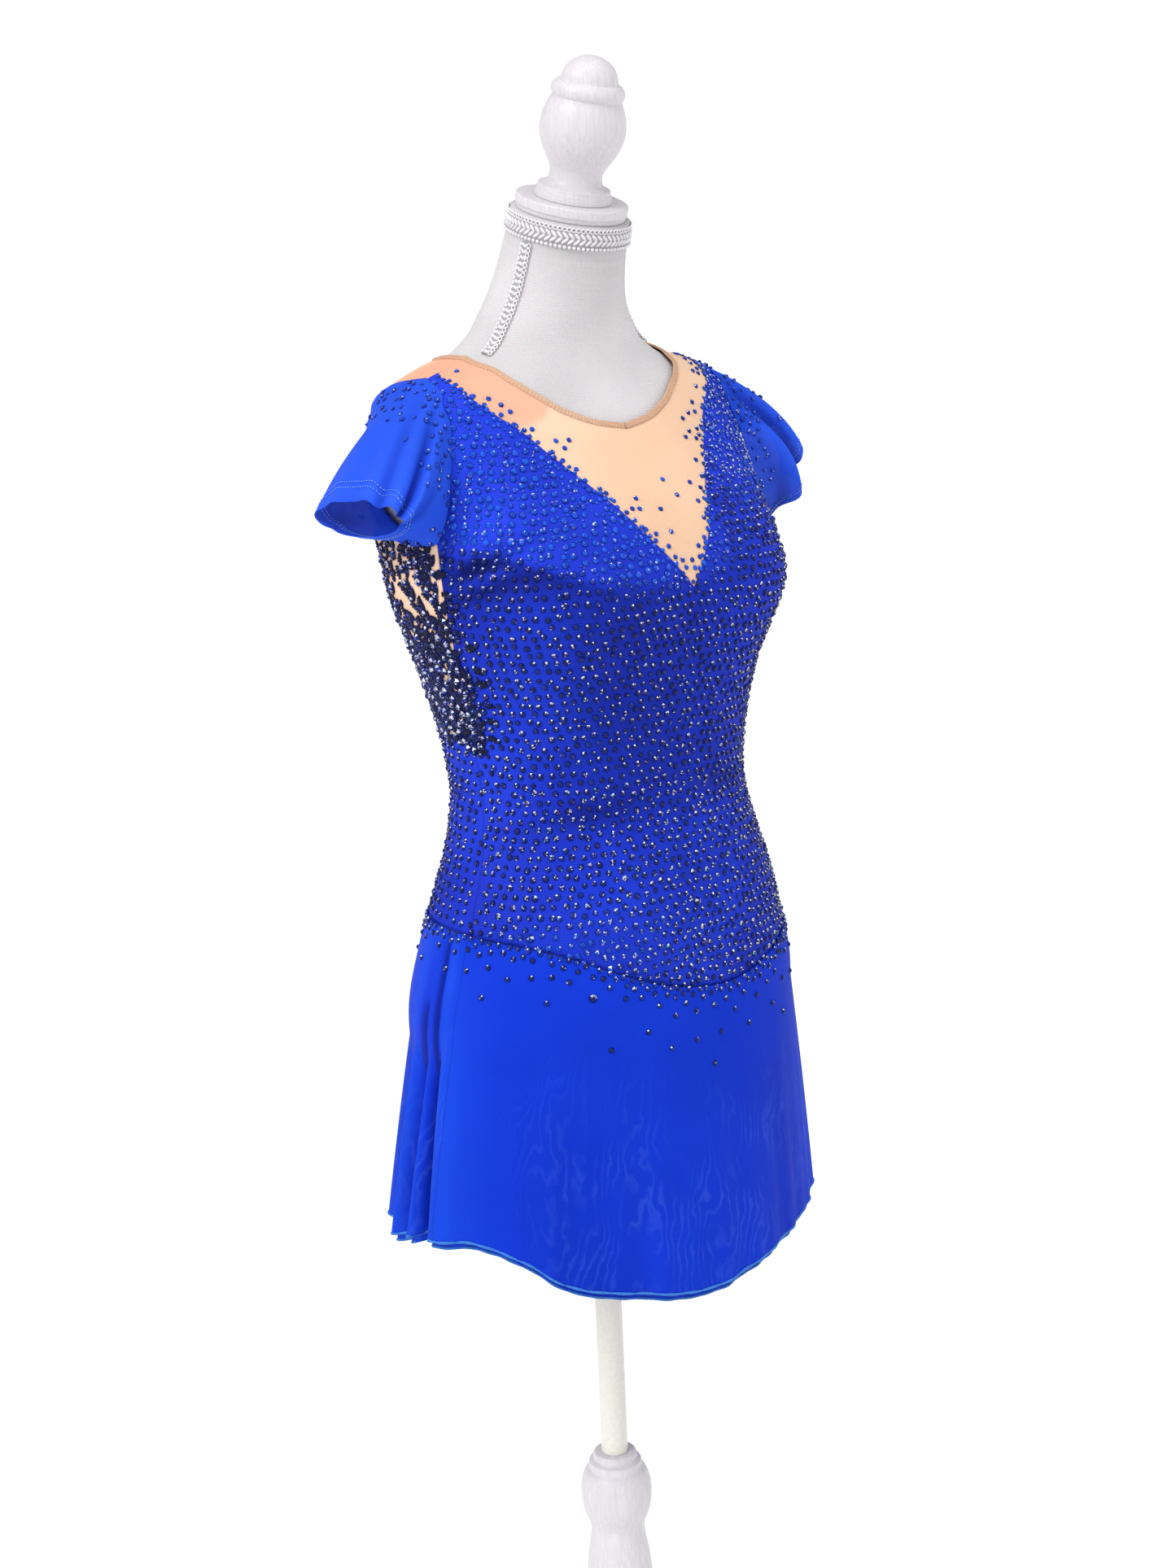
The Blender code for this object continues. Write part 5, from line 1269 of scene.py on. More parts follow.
# from the drop waist out over the hip and down to the hem; folds added, then kept clear of the form
def skirtPoints(angle, way, layer):
    shape = skirtShape
    outer = 1 - layer
    lift = cloth["skinGap"] + cloth["stretchGap"] + cloth["skirtWall"] * 0.5
    lift += outer * (cloth["skirtWall"] + shape["layerGap"])
    inset = shape["inset"] * layer
    below, belowMore = shape["below"]
    top = outFromBody(dropWaistHeight(angle) - below - belowMore * outer, angle, lift)
    turn = np.radians(angle)
    side, ahead = np.sin(turn), np.cos(turn)
    forward = shape["hemForward"]
    depth = np.where(ahead > 0.0, shape["hemFront"] - forward, shape["hemBack"] + forward)
    hemHeight = smoothCurve(wrapped(angle), hemLine[:, 0], hemLine[:, 1]) - shape["longer"] * layer
    hem = np.stack([side * (shape["hemHalfWidth"] - inset), -forward - ahead * (depth - inset)], axis=-1)
    spread = ((1.0 + shape["bulge"]) * way - shape["bulge"] * way**2)[..., None]
    grid = np.empty(np.broadcast(angle, way).shape + (3,))
    grid[..., :2] = top[..., :2] + (hem - top[..., :2]) * spread
    grid[..., 2] = top[..., 2] + (hemHeight - top[..., 2]) * way
    out = unit(np.stack([side * shape["hemFront"], -ahead * shape["hemHalfWidth"]], axis=-1))
    grid[..., :2] += out * skirtFoldAmount(angle, way)[..., None]
    ripple = sum(size * np.sin(turn * many + start) for size, many, start in shape["ripples"])
    grid[..., :2] += out * (ripple * way**1.5)[..., None]
    bodyHeight = np.clip(grid[..., 2], formBottom, neckTop)
    clear, clearMore = shape["clear"]
    body = outFromBody(bodyHeight, angle + 0.0 * way, lift + (clear + clearMore * outer) * way)
    fromMiddle = grid[..., :2] - bodyMiddle
    reach = np.linalg.norm(fromMiddle, axis=-1)
    least = np.linalg.norm(body[..., :2] - bodyMiddle, axis=-1)
    grid[..., :2] = bodyMiddle + fromMiddle * (np.maximum(reach, least) / reach)[..., None]
    return grid


def makeSkirt(node, start, end, columns, layer):
    shape = skirtShape
    angle = np.linspace(start, end, columns)[None, :]
    angle, way = np.broadcast_arrays(angle, np.linspace(0.0, 1.0, shape["rows"][layer])[:, None])
    grid = skirtPoints(angle, way, layer)
    uv = np.stack([np.radians(angle) * shape["uvRound"], -way * shape["uvLong"]], axis=-1)
    inwards = unit(np.cross(np.gradient(grid, axis=1), np.gradient(grid, axis=0)))
    # painted light on the sides, painted shade in the fold troughs and beyond the ridges, painted light on
    # the ridges
    fromFront = np.abs(wrapped(angle))
    aside, first, firstFade, last, lastFade = shape["aside"]
    aside = aside * clipped((fromFront - first) / firstFade) * clipped((last - fromFront) / lastFade)
    paintedShadingAndDoubling = np.maximum(skirtFoldAmount(angle, way) / shape["fullShadeFold"], shape["deepest"])
    paintedShadingAndDoubling = np.clip(paintedShadingAndDoubling + aside - skirtShade(angle, way), -1.0, 1.0)
    grids = [(grid - inwards * shape["proud"], uv, paintedShadingAndDoubling)]
    clothPiece(node + "_cloth", grids, shape["thick"], blueMesh, "blue_mesh", node)


frontEnd, backStart = skirtSeam - skirtShape["seamTurn"], skirtSeam + skirtShape["seamTurn"]
for layer, layerName in enumerate(("skirt", "underskirt")):
    makeSkirt(layerName + "_front", -frontEnd, frontEnd, skirtShape["frontColumns"], layer)
    makeSkirt(layerName + "_back", backStart, 360.0 - backStart, skirtShape["backColumns"], layer)


# round roll along each hem: a thin tube whose line is the cloth's last row
def makeHemRoll(name, layer, colour):
    steps, sides, radius = (skirtShape[key] for key in ("rollSteps", "rollSides", "rollRadius"))
    angle = np.linspace(-180.0, 180.0, steps, endpoint=False)
    line = skirtPoints(angle, np.ones(steps), layer)
    away = unit(np.stack([line[:, 0], line[:, 1] - bodyMiddle[1], np.zeros(steps)], axis=-1))
    line = line + away * 0.0004 * np.sin(np.radians(angle) * 60.0)[:, None]
    turn = np.linspace(0.0, 2.0 * np.pi, sides, endpoint=False)
    up = np.array([0.0, 0.0, 1.0]) * (radius * 1.1 * np.sin(turn) + 0.0006)[:, None, None]
    grid = line[None] + away[None] * (radius * np.cos(turn))[:, None, None] + up
    faces = gridFaces(sides, steps, True, tube=True)[:, ::-1]
    dice = np.random.default_rng(3)
    mottledPiece(name, grid, [faces], colour, dice, 0.85, 1.1, threadMaterial, "blue_mesh")


makeHemRoll("hem_roll_outer", 0, (0.035, 0.19, 0.62))
makeHemRoll("hem_roll_under", 1, (0.030, 0.16, 0.56))
print("skirt made")

# stones
stoneLook = {
    # rows: row step, step along the row, slant from row to row, jitter
    "front": (0.0070, 0.0077, 0.46, 0.0008), "dense": (0.0049, 0.0052, 0.47, 0.0009),
    "back": (0.0076, 0.0085, 0.36, 0.0006), "radius": 0.0023, "lift": 0.0001, "large": 1.45, "largeCount": 16,
    # the close-set ones on the left shoulder begin at the first height and stand alone above the second
    "shoulder": (1.222, 1.262), "edgeCount": 700, "fillCount": 2400, "skirtCount": 5200, "sleeveCount": 420,
    "yokeCount": 120, "yokeBackCount": 90, "yokeRadius": 0.0020, "backRadius": 0.0022, "spread": 0.23,
    "backSpread": 0.50,
    # painted white glint facets: on the left shoulder, and on the lower body up to a height
    "glintPart": (0.24, 0.11, 1.06), "skirtLong": 0.24, "skirtRadius": (0.0022, 0.0031, 0.05),
}


# staggered rows that sway a little: arc lengths round and up the body, turned into ring height and angle
def rowStones(look, seed, low, high, reach):
    rowStep, step, slant, jitter = look
    dice = np.random.default_rng(seed)
    ups = np.arange(upArc(low), upArc(high), rowStep)
    rounds = np.arange(-reach, reach, step)
    row, column = np.meshgrid(np.arange(len(ups)), np.arange(len(rounds)), indexing="ij")
    arc = rounds[column] + (row * slant % 1.0) * step + dice.normal(0.0, jitter, row.shape)
    up = ups[row] + dice.normal(0.0, jitter, row.shape)
    arc, up = arc + 0.0022 * np.sin(up * 31.0 + 0.7), up + 0.0020 * np.sin(arc * 27.0 + 1.9)
    height = np.interp(up, arcUp, arcHeights).reshape(-1)
    return height, angleAtArc(height, arc.reshape(-1))


def vAngle(height):
    edge = along(vEdge, np.linspace(0.0, 1.0, 400))
    return np.interp(height, edge[0], edge[1], left=-1.0, right=90.0)


def armAngle(height):
    edge = along(armholeFront, np.linspace(0.0, 1.0, 400))
    return np.where(height < edge[0][0], sideSeamAngle(height), np.interp(height, edge[0], edge[1]))


# whether a point lies on the blue front, some degrees clear of the V and of the armhole or side seam
def onFront(height, angle, fromV, fromArm):
    side = np.abs(angle)
    return (side > vAngle(height) + fromV) & (side < armAngle(height) - fromArm)


def everyOther(count):
    return np.where(np.arange(count) % 2 == 0, 1.0, -1.0)


def frontStones():
    dice = np.random.default_rng(21)
    look = stoneLook
    low, full = look["shoulder"]
    height, angle = rowStones(look["front"], 7, 0.902, 1.352, look["spread"])
    inside = (height > dropWaistHeight(angle) - 0.001) & onFront(height, angle, 0.8, 0.6)
    inside &= ~((angle > 0.0) & (height > full))
    height, angle = height[inside], angle[inside]
    radius = look["radius"] * dice.choice([0.86, 1.0, 1.0, 1.10], len(height))
    radius *= np.where(height > chestEdge(angle), 1.08, 1.0)
    radius[dice.choice(len(height), look["largeCount"], replace=False)] *= look["large"]
    # close-set small stones on the left shoulder, thinning downwards
    denseHeight, denseAngle = rowStones(look["dense"], 9, low, 1.353, look["spread"])
    keep = onFront(denseHeight, denseAngle, 0.4, 0.5) & (denseAngle > 2.0)
    keep &= dice.random(len(denseHeight)) < clipped((denseHeight - low) / 0.045)
    keep &= (denseHeight > full) | (dice.random(len(denseHeight)) < 0.45)
    denseHeight, denseAngle = denseHeight[keep], denseAngle[keep]
    denseRadius = dice.choice([0.0014, 0.0017, 0.0020], len(denseHeight))
    # extra stones crowd both sides of the V edge
    count = look["edgeCount"]
    edgeHeight, edgeAngle = along(vEdge, dice.uniform(0.02, 0.99, count))
    inwards = np.abs(dice.normal(0.0, 1.0, count)) * 2.8 - 1.0
    edgeAngle = (edgeAngle + inwards) * everyOther(count)
    edgeRadius = dice.choice([0.0017, 0.0020, 0.0023], count)
    # the smallest stones fill what is left between the others on the bright upper chest
    count = look["fillCount"]
    fillHeight, fillAngle = dice.uniform(1.200, 1.348, count), dice.uniform(-90.0, 24.0, count)
    keep = (fillHeight > chestEdge(fillAngle)) & onFront(fillHeight, fillAngle, 0.5, 0.5)
    fillHeight, fillAngle = fillHeight[keep], fillAngle[keep]
    fillRadius = dice.choice([0.0010, 0.0013], len(fillHeight))
    height = np.concatenate([edgeHeight, height, denseHeight, fillHeight])
    angle = np.concatenate([edgeAngle, angle, denseAngle, fillAngle])
    return height, angle, np.concatenate([edgeRadius, radius, denseRadius, fillRadius])


# painted light on the stones, how bright and cyan they flash: the right upper chest above the fold, a patch
# low on the right, the left shoulder a little
def flashOf(height, angle):
    chest = clipped((height - chestEdge(angle) + 0.004) / 0.014) * clipped((24.0 - angle) / 16.0) * 0.78
    right = np.exp(-(((angle + 42.0) / 24.0) ** 2) - ((height - 0.945) / 0.024) ** 2) * 0.60
    shoulder = clipped((height - 1.225) / 0.04) * clipped((angle - 20.0) / 10.0) * 0.60
    return np.clip(0.03 + np.maximum(chest, right) + shoulder, 0.0, 0.85)


def backStones():
    dice = np.random.default_rng(41)
    height, angle = rowStones(stoneLook["back"], 17, 0.930, 1.112, stoneLook["backSpread"])
    side = np.abs(angle)
    edge = along(lowBackEdge, np.linspace(0.0, 1.0, 200))
    inside = (height > dropWaistHeight(angle) + 0.001) & (side > sideSeamAngle(height) + 0.6)
    inside &= (height < np.interp(side, edge[1], edge[0]) - 0.002) & (side < 180.0)
    height, angle = height[inside], angle[inside]
    return height, angle, stoneLook["backRadius"] * dice.choice([0.86, 1.0, 1.12], len(height))


# loose stones on the nude mesh: denser at the V edge, and a few along the low back edge
def looseStones():
    dice = np.random.default_rng(51)
    count, backCount = stoneLook["yokeCount"], stoneLook["yokeBackCount"]
    share = dice.uniform(0.0, 0.97, count)
    edge, neck = along(vEdge, share), along(neckEdgeFront, share)
    way = 0.06 + 0.62 * dice.random(count) ** 2.6
    height = edge[0] * (1.0 - way) + neck[0] * way
    angle = (edge[1] * (1.0 - way) + neck[1] * way) * everyOther(count)
    back = along(lowBackEdge, dice.uniform(0.0, 1.0, backCount))
    backHeight = back[0] + 0.003 + 0.045 * dice.random(backCount) ** 2.2
    height = np.concatenate([height, backHeight])
    angle = np.concatenate([angle, back[1] * everyOther(backCount)])
    return height, angle, np.full(len(height), stoneLook["yokeRadius"])


def addBodyStones(name, stones, flashShare, seed, gap=None, glintShare=0.0):
    height, angle, radius = stones
    place = onBodice(height, angle, stoneLook["lift"])
    room = None if gap is None else radius + gap * 0.5
    flash = flashOf(height, angle) * flashShare
    addStones(name, place, bodyNormal(height, angle), radius, flash, seed, glintShare, room)


stones = frontStones()
# painted glints: more white facets on the left shoulder and low on the body
shoulderGlints, lowGlints, lowHeight = stoneLook["glintPart"]
onShoulder = (stones[1] > 2.0) & (stones[0] > stoneLook["shoulder"][1])
glintShare = np.where(onShoulder, shoulderGlints, np.where(stones[0] < lowHeight, lowGlints, 0.0))
addBodyStones("stones_front", stones, 1.0, 31, 0.0001, glintShare)
addBodyStones("stones_back", backStones(), 0.5, 32)
addBodyStones("stones_yoke", looseStones(), 0.8, 33, 0.0015)


# stones on the skirt: close-set just below the seam, then thinning out, further down at the centre than at
# the sides
def addSkirtStones(name, seed):
    dice = np.random.default_rng(61)
    count = stoneLook["skirtCount"]
    angle = dice.uniform(-180.0, 180.0, count)
    middle = np.exp(-(((angle - 14.0) / 34.0) ** 2))
    drop = dice.exponential(0.0062 + 0.0072 * middle, count)
    drop = np.where(dice.random(count) < 0.03, dice.exponential(0.014 + 0.016 * middle, count), drop)
    keep = (dice.random(count) < 0.60 + 0.40 * middle) & (drop > 0.0008) & (drop < 0.085)
    angle, drop = angle[keep], drop[keep]
    order = np.argsort(drop)
    angle, drop = angle[order], drop[order]
    way = drop / stoneLook["skirtLong"]
    place = skirtPoints(angle, way, 0)
    normal = np.cross(skirtPoints(angle + 0.3, way, 0) - place, skirtPoints(angle, way + 0.001, 0) - place)
    normal = -unit(normal)
    small, large, largeShare = stoneLook["skirtRadius"]
    radius = np.where(np.random.default_rng(62).random(len(place)) < largeShare, large, small)
    room = radius + 0.0007 + np.clip(0.34 * (drop - 0.006), 0.0, 0.009)
    # painted light: the stones close under the seam are painted brighter and bluer
    flash = np.clip(0.30 - drop / 0.03, 0.04, 0.30)
    addStones(name, place + normal * 0.0006, normal, radius, flash, seed, room=room)


addSkirtStones("stones_skirt", 34)


# stones on the sleeves: crowded along the armhole seam and over the top, thinning out down the cap
def addSleeveStones(name, side, seed):
    dice = np.random.default_rng(seed)
    count = stoneLook["sleeveCount"]
    turn = np.radians(dice.uniform(20.0, 340.0, count))
    way = 0.03 + np.abs(dice.normal(0.0, 0.20, count))
    front = np.exp(-(((np.degrees(turn) - 140.0) / 55.0) ** 2))
    keep = (way < 0.75) & (dice.random(count) < 0.10 + 0.75 * front)
    turn, way = turn[keep], way[keep]
    place, out = sleevePoint(side, turn, way)
    nearTurn, nearWay = sleevePoint(side, turn + 0.02, way)[0], sleevePoint(side, turn, way + 0.01)[0]
    normal = np.cross(nearTurn - place, nearWay - place)
    normal = unit(normal * np.sign((normal * out).sum(-1, keepdims=True)))
    radius = dice.choice([0.0016, 0.0019, 0.0022], len(place))
    # painted light: every sleeve stone is painted half lit
    flash = np.full(len(place), 0.55)
    addStones(name, place + normal * 0.0002, normal, radius, flash, seed, room=radius + 0.0005)


addSleeveStones("stones_sleeve_right", -1.0, 71)
addSleeveStones("stones_sleeve_left", 1.0, 72)
print("stones set")

# side lace
laceLook = {
    "navy": (0.006, 0.008, 0.040), "bead": (0.010, 0.014, 0.085), "stem": 6, "leafRows": 8, "leafColumns": 4,
    "leafThick": 0.0004, "leafLift": 0.0004, "leafRise": 0.0007, "leafTaper": 0.35, "leafSpread": 0.75,
    "dotLength": 0.0042, "dotWidth": 0.42, "leafWidth": 0.27, "beadLift": 0.0008, "dropLift": 0.0009,
    # smallest and largest: leaf, petal, bead radius, drop radius
    "leaf": (0.0075, 0.0120), "petal": (0.009, 0.013), "beads": (0.0007, 0.0011), "drops": (0.0019, 0.0032),
    # sprigs: ring height, angle, heading in degrees (0 to the back, 90 up), length, large stones on it
    "sprigs": [
        (1.237, 84.0, 20.0, 0.024, 2), (1.230, 79.5, 84.0, 0.022, 3), (1.226, 84.0, 60.0, 0.022, 2),
        (1.232, 106.0, 74.0, 0.026, 2), (1.229, 97.0, 60.0, 0.026, 2), (1.223, 88.0, 66.0, 0.026, 3),
        (1.212, 84.0, 76.0, 0.026, 3), (1.199, 80.5, 84.0, 0.026, 3), (1.186, 79.0, 84.0, 0.026, 3),
        (1.220, 113.0, 92.0, 0.026, 2), (1.206, 109.0, 78.0, 0.028, 3), (1.192, 115.0, 100.0, 0.028, 3),
        (1.179, 108.0, 75.0, 0.028, 4), (1.165, 114.0, 104.0, 0.028, 4), (1.151, 106.0, 70.0, 0.028, 5),
        (1.137, 112.0, 96.0, 0.028, 5), (1.123, 104.0, 75.0, 0.026, 6), (1.109, 109.0, 64.0, 0.024, 6),
        (1.209, 96.0, 52.0, 0.030, 2), (1.194, 91.0, 58.0, 0.030, 3), (1.181, 87.0, 62.0, 0.028, 4),
        (1.169, 84.0, 80.0, 0.028, 4), (1.156, 82.0, 70.0, 0.026, 5), (1.142, 83.0, 84.0, 0.028, 5),
        (1.129, 81.0, 72.0, 0.026, 6), (1.116, 82.0, 95.0, 0.026, 6), (1.104, 80.0, 80.0, 0.022, 6),
        (1.176, 99.0, 64.0, 0.022, 2), (1.158, 94.0, 50.0, 0.026, 4), (1.146, 99.0, 100.0, 0.028, 5),
        (1.133, 92.0, 62.0, 0.028, 6), (1.119, 98.0, 108.0, 0.028, 6), (1.107, 91.0, 72.0, 0.024, 6),
    ],
    # small sprigs that fill the lower half: ring heights, angles
    "fillers": (np.arange(1.100, 1.178, 0.0125), (81.0, 88.0, 95.0, 102.0, 109.0, 116.0, 122.0)),
    # small dark dots on the bare mesh: ring height, angle
    "dots": [
        (1.219, 84.5), (1.213, 82.0), (1.209, 85.5), (1.203, 80.5), (1.186, 98.0), (1.196, 103.0),
        (1.167, 91.0), (1.214, 103.0),
    ],
    # spiky petals over the blue cloth: ring height, angle, heading
    "petals": [
        (1.222, 78.0, 172.0), (1.209, 77.5, 192.0), (1.196, 76.5, 176.0), (1.182, 76.0, 196.0),
        (1.169, 75.0, 168.0), (1.155, 74.5, 200.0), (1.142, 75.0, 172.0), (1.128, 74.5, 196.0),
        (1.114, 75.0, 178.0), (1.102, 75.5, 206.0),
    ],
}
# eight-sided bead, radius 1
beadShape = np.array([(0, 0, 1), (1, 0, 0), (0, 1, 0), (-1, 0, 0), (0, -1, 0), (0, 0, -1)], float)
beadFaces = np.array([(0, 1, 2), (0, 2, 3), (0, 3, 4), (0, 4, 1), (5, 2, 1), (5, 3, 2), (5, 4, 3), (5, 1, 4)])


# a point beside (height, angle) on the body: right and up in metres over the cloth
def besideOnBody(height, angle, right, up):
    newHeight = height + up
    girth = np.linalg.norm(bodyPoint(newHeight, angle + 0.5) - bodyPoint(newHeight, angle - 0.5), axis=-1)
    return newHeight, angle + right / np.maximum(girth, 1e-5)


# leaves, two and two along bent stems, and the places of the large stones on the stems; the leaf rows are
# height, angle, right, up, direction and length
def laceLayout(dice):
    look = laceLook
    leaves, drops = [], []
    heights, angles = look["fillers"]
    fillers = [(height + dice.normal(0.0, 0.002), angle + dice.normal(0.0, 1.5), dice.uniform(40.0, 110.0),
                0.026, 2) for height in heights for angle in angles]
    for height, angle, heading, length, stones in look["sprigs"] + fillers:
        heading = math.radians(heading)
        bend = dice.uniform(-0.9, 0.9)
        for j, s in enumerate(np.linspace(-0.5, 0.5, look["stem"])):
            x = length * s * math.cos(heading) + dice.normal(0.0, 0.0005)
            y = length * s * math.sin(heading)
            direction = heading + bend * s + look["leafSpread"] * (1 if j % 2 == 0 else -1)
            leaves.append((height, angle, x, y, direction, dice.uniform(*look["leaf"])))
        stones += 2 if height < 1.16 else 0
        for k in range(stones):
            s = (k + 0.5) / stones - 0.5
            drops.append((height, angle, length * s * math.cos(heading) + dice.normal(0.0, 0.0016),
                          length * s * math.sin(heading) + dice.normal(0.0, 0.0012)))
    for height, angle, heading in look["petals"]:
        leaves.append((height, angle, 0.0, 0.0, math.radians(heading), dice.uniform(*look["petal"])))
    for height, angle in look["dots"]:
        leaves.append((height, angle, 0.0, 0.0, dice.uniform(1.0, 2.1), look["dotLength"]))
    return np.array(leaves), np.array(drops)


# pointed leaves as small raised grids, beads along both edges of each, large stones on the stems
def makeLace(side, node, name):
    look = laceLook
    dice = np.random.default_rng(81)
    leaves, drops = laceLayout(dice)
    height, angle, x, y, direction, length = [column[:, None, None] for column in leaves.T]
    broad = np.where(length <= look["dotLength"], look["dotWidth"], look["leafWidth"])

    # height and angle of points of all leaves: a share along the leaf and one across it, from -1 to 1
    def onLeaves(share, across):
        taper = 1.0 - look["leafTaper"] * share
        aside = broad * length * across * np.sin(np.pi * share) ** 0.8 * taper
        right = x + length * share * np.cos(direction) - aside * np.sin(direction)
        up = y + length * share * np.sin(direction) + aside * np.cos(direction)
        leafHeight, leafAngle = besideOnBody(height, angle, right, up)
        return leafHeight, leafAngle * side

    rows, columns = look["leafRows"], look["leafColumns"]
    share, across = np.meshgrid(np.linspace(0.0, 1.0, rows), np.linspace(-1.0, 1.0, columns), indexing="ij")
    lift = look["leafLift"] + look["leafRise"] * (1.0 - across**2) * np.sin(np.pi * share)
    points = onBodice(*onLeaves(share, across), lift)
    starts = (np.arange(len(leaves)) * rows * columns)[:, None, None]
    quads = (gridFaces(rows, columns)[None] + starts).reshape(-1, 4)
    quads = quads[:, ::-1] if side < 0.0 else quads
    piece = mottledPiece(name + "_leaves", points, [quads], look["navy"], dice, 0.5, 1.8, beadMaterial,
                         "navy_lace", node)
    addWall(piece, look["leafThick"])
    beadHeight, beadAngle = onLeaves(np.linspace(0.08, 0.95, 5)[:, None], np.array([-1.0, 1.0])[None, :])
    beadHeight, beadAngle = beadHeight.reshape(-1), beadAngle.reshape(-1)
    size = dice.uniform(*look["beads"], len(beadHeight))
    place, normal = onBodice(beadHeight, beadAngle, look["beadLift"]), bodyNormal(beadHeight, beadAngle)
    sideways = unit(np.cross(normal, [0.0, 0.0, 1.0]))
    upward = np.cross(normal, sideways)
    beads, faces = scatter(beadShape, [beadFaces], place, sideways, upward, normal, size)
    mesh = makeMesh(name + "_beads", beads, faces)
    # painted glints: one bead in ten is painted nine times lighter
    shine = np.where(dice.random(len(place)) < 0.10, 9.0, 1.0)[:, None]
    shine = shine * np.array(look["bead"]) * dice.uniform(0.6, 1.4, (len(place), 1))
    setTone(mesh, np.repeat(np.clip(shine, 0.0, 0.9), len(beadFaces), axis=0))
    addPiece(name + "_beads", mesh, beadMaterial, "navy_lace")
    # large clear and dark stones, more of them towards the bottom; their white and coloured facets are
    # painted glints
    height, angle = besideOnBody(*drops.T)
    place, normal = onBodice(height, angle * side, look["dropLift"]), bodyNormal(height, angle * side)
    radius = dice.uniform(*look["drops"], len(place))
    flash = np.full(len(place), 0.08)
    addStones(name + "_drops", place, normal, radius, flash, 91, glintShare=0.40, room=radius + 0.0001)


makeLace(-1.0, "lace_right", "side_lace_right")
makeLace(1.0, "lace_left", "side_lace_left")
print("lace made")

# braid on the neck
braidLook = {
    "strand": (0.86, 0.845, 0.865), "paintedShade": (0.38, 0.37, 0.39), "pitch": 0.0043, "loopPitch": 0.0034,
    "loopRadius": 0.0015, "loopTube": 0.36, "loopLane": 0.84, "loopLift": 0.0006, "strandLift": 0.0008,
    "bandShare": 0.86, "bandRise": 0.0007, "bandThick": 0.0006,
    # sizes of a strand: slanting, its length as a share of the half width; straight
    "slanting": (0.80, 0.0024, 0.0022), "straight": (0.0028, 0.0027, 0.0023),
    # rows of strands: lane across the band, slant, pitch
    "lanes": [(-0.20, 0.74, "pitch"), (0.30, -0.74, "pitch"), (-0.74, 0.0, "loopPitch")],
}


# rounded strand, length 1 along its first axis and 1 across: rings whose radius follows a blunt half ellipse
def strandShape(rows=6, sides=6):
    s = np.sin(np.linspace(-0.5, 0.5, rows) * np.pi) * 0.5
    size = 0.5 * np.sqrt(np.maximum(1.0 - (2.0 * np.abs(s)) ** 2.6, 0.0))
    turn = np.linspace(0.0, 2.0 * np.pi, sides, endpoint=False)
    s, size = s[1:-1, None], size[1:-1, None]
    ring = np.stack([s + 0.0 * turn, size * np.cos(turn), size * np.sin(turn)], axis=-1)
    points = np.concatenate([ring.reshape(-1, 3), [[-0.5, 0.0, 0.0], [0.5, 0.0, 0.0]]])
    return points, gridFaces(rows - 2, sides, True), tubeCaps(rows - 2, sides)


# small ring lying flat, radius 1
def loopShape(steps=10, sides=5):
    way = np.linspace(0.0, 2.0 * np.pi, steps, endpoint=False)[:, None]
    turn = np.linspace(0.0, 2.0 * np.pi, sides, endpoint=False)[None, :]
    tube = braidLook["loopTube"]
    reach = 1.0 + tube * np.cos(turn)
    points = np.stack([reach * np.cos(way), reach * np.sin(way), tube * np.sin(turn) + 0.0 * way], axis=-1)
    return points.reshape(-1, 3), gridFaces(steps, sides, True, tube=True)[:, [0, 3, 2, 1]]


# evenly spaced places along a line, with the frame of each: place, ahead, aside, out
def placesAlong(line, normal, step, closed):
    if closed:
        line, normal = (np.concatenate([values, values[:1]]) for values in (line, normal))
    run = runLength(line)
    count = int(run[-1] / step)
    at = (np.arange(count) + 0.5) * run[-1] / count
    place = pointsAt(at, run, line)
    ahead = unit(pointsAt(at + 0.0005, run, line) - place)
    out = unit(pointsAt(at, run, normal))
    return place, ahead, np.cross(out, ahead), out


# herringbone of slanting strands on a flat band, small open loops along its upper edge and round ones along
# the lower
def makeBraid(name, height, angle, halfWidth, closed, node):
    look = braidLook
    base = outFromBody(height, angle, cloth["skinGap"])
    normal = bodyNormal(height, angle)
    ahead = np.roll(base, -1, axis=0) - np.roll(base, 1, axis=0) if closed else np.gradient(base, axis=0)
    aside = np.cross(normal, unit(ahead))
    across = np.linspace(-1.0, 1.0, 7)[:, None, None]
    rise = look["bandRise"] * (1.0 - across**2)
    grid = base + aside * (across * halfWidth * look["bandShare"]) + normal * rise
    faces = gridFaces(7, len(base), closed)[:, ::-1]
    mesh = makeMesh(name, grid, [faces])
    # painted shade: the band is painted darker than the strands, for the shade in the gaps between them
    setTone(mesh, np.tile(look["paintedShade"], (len(faces), 1)))
    addWall(addPiece(name, mesh, threadMaterial, "form_braid", node), look["bandThick"])
    strand, strandSides, strandCaps = strandShape()
    slantSize = (halfWidth * look["slanting"][0], *look["slanting"][1:])
    runs = []
    for lane, slant, pitch in look["lanes"]:
        line = base + aside * lane * halfWidth + normal * look["strandLift"]
        place, way, beside, away = placesAlong(line, normal, look[pitch], closed)
        turned = way * math.cos(slant) + beside * math.sin(slant)
        upward = np.cross(away, turned)
        size = np.tile(slantSize if slant else look["straight"], (len(place), 1))
        runs.append(scatter(strand, [strandSides, strandCaps], place, turned, upward, away, size))
    loop, loopFaces = loopShape()
    line = base + aside * look["loopLane"] * halfWidth + normal * look["loopLift"]
    places = placesAlong(line, normal, look["loopPitch"], closed)
    runs.append(scatter(loop, [loopFaces], *places, look["loopRadius"]))
    points, faceArrays = gathered(runs)
    dice = np.random.default_rng(12)
    mottledPiece(name + "_strands", points, faceArrays, look["strand"], dice, 0.90, 1.06, threadMaterial,
                 "form_braid")


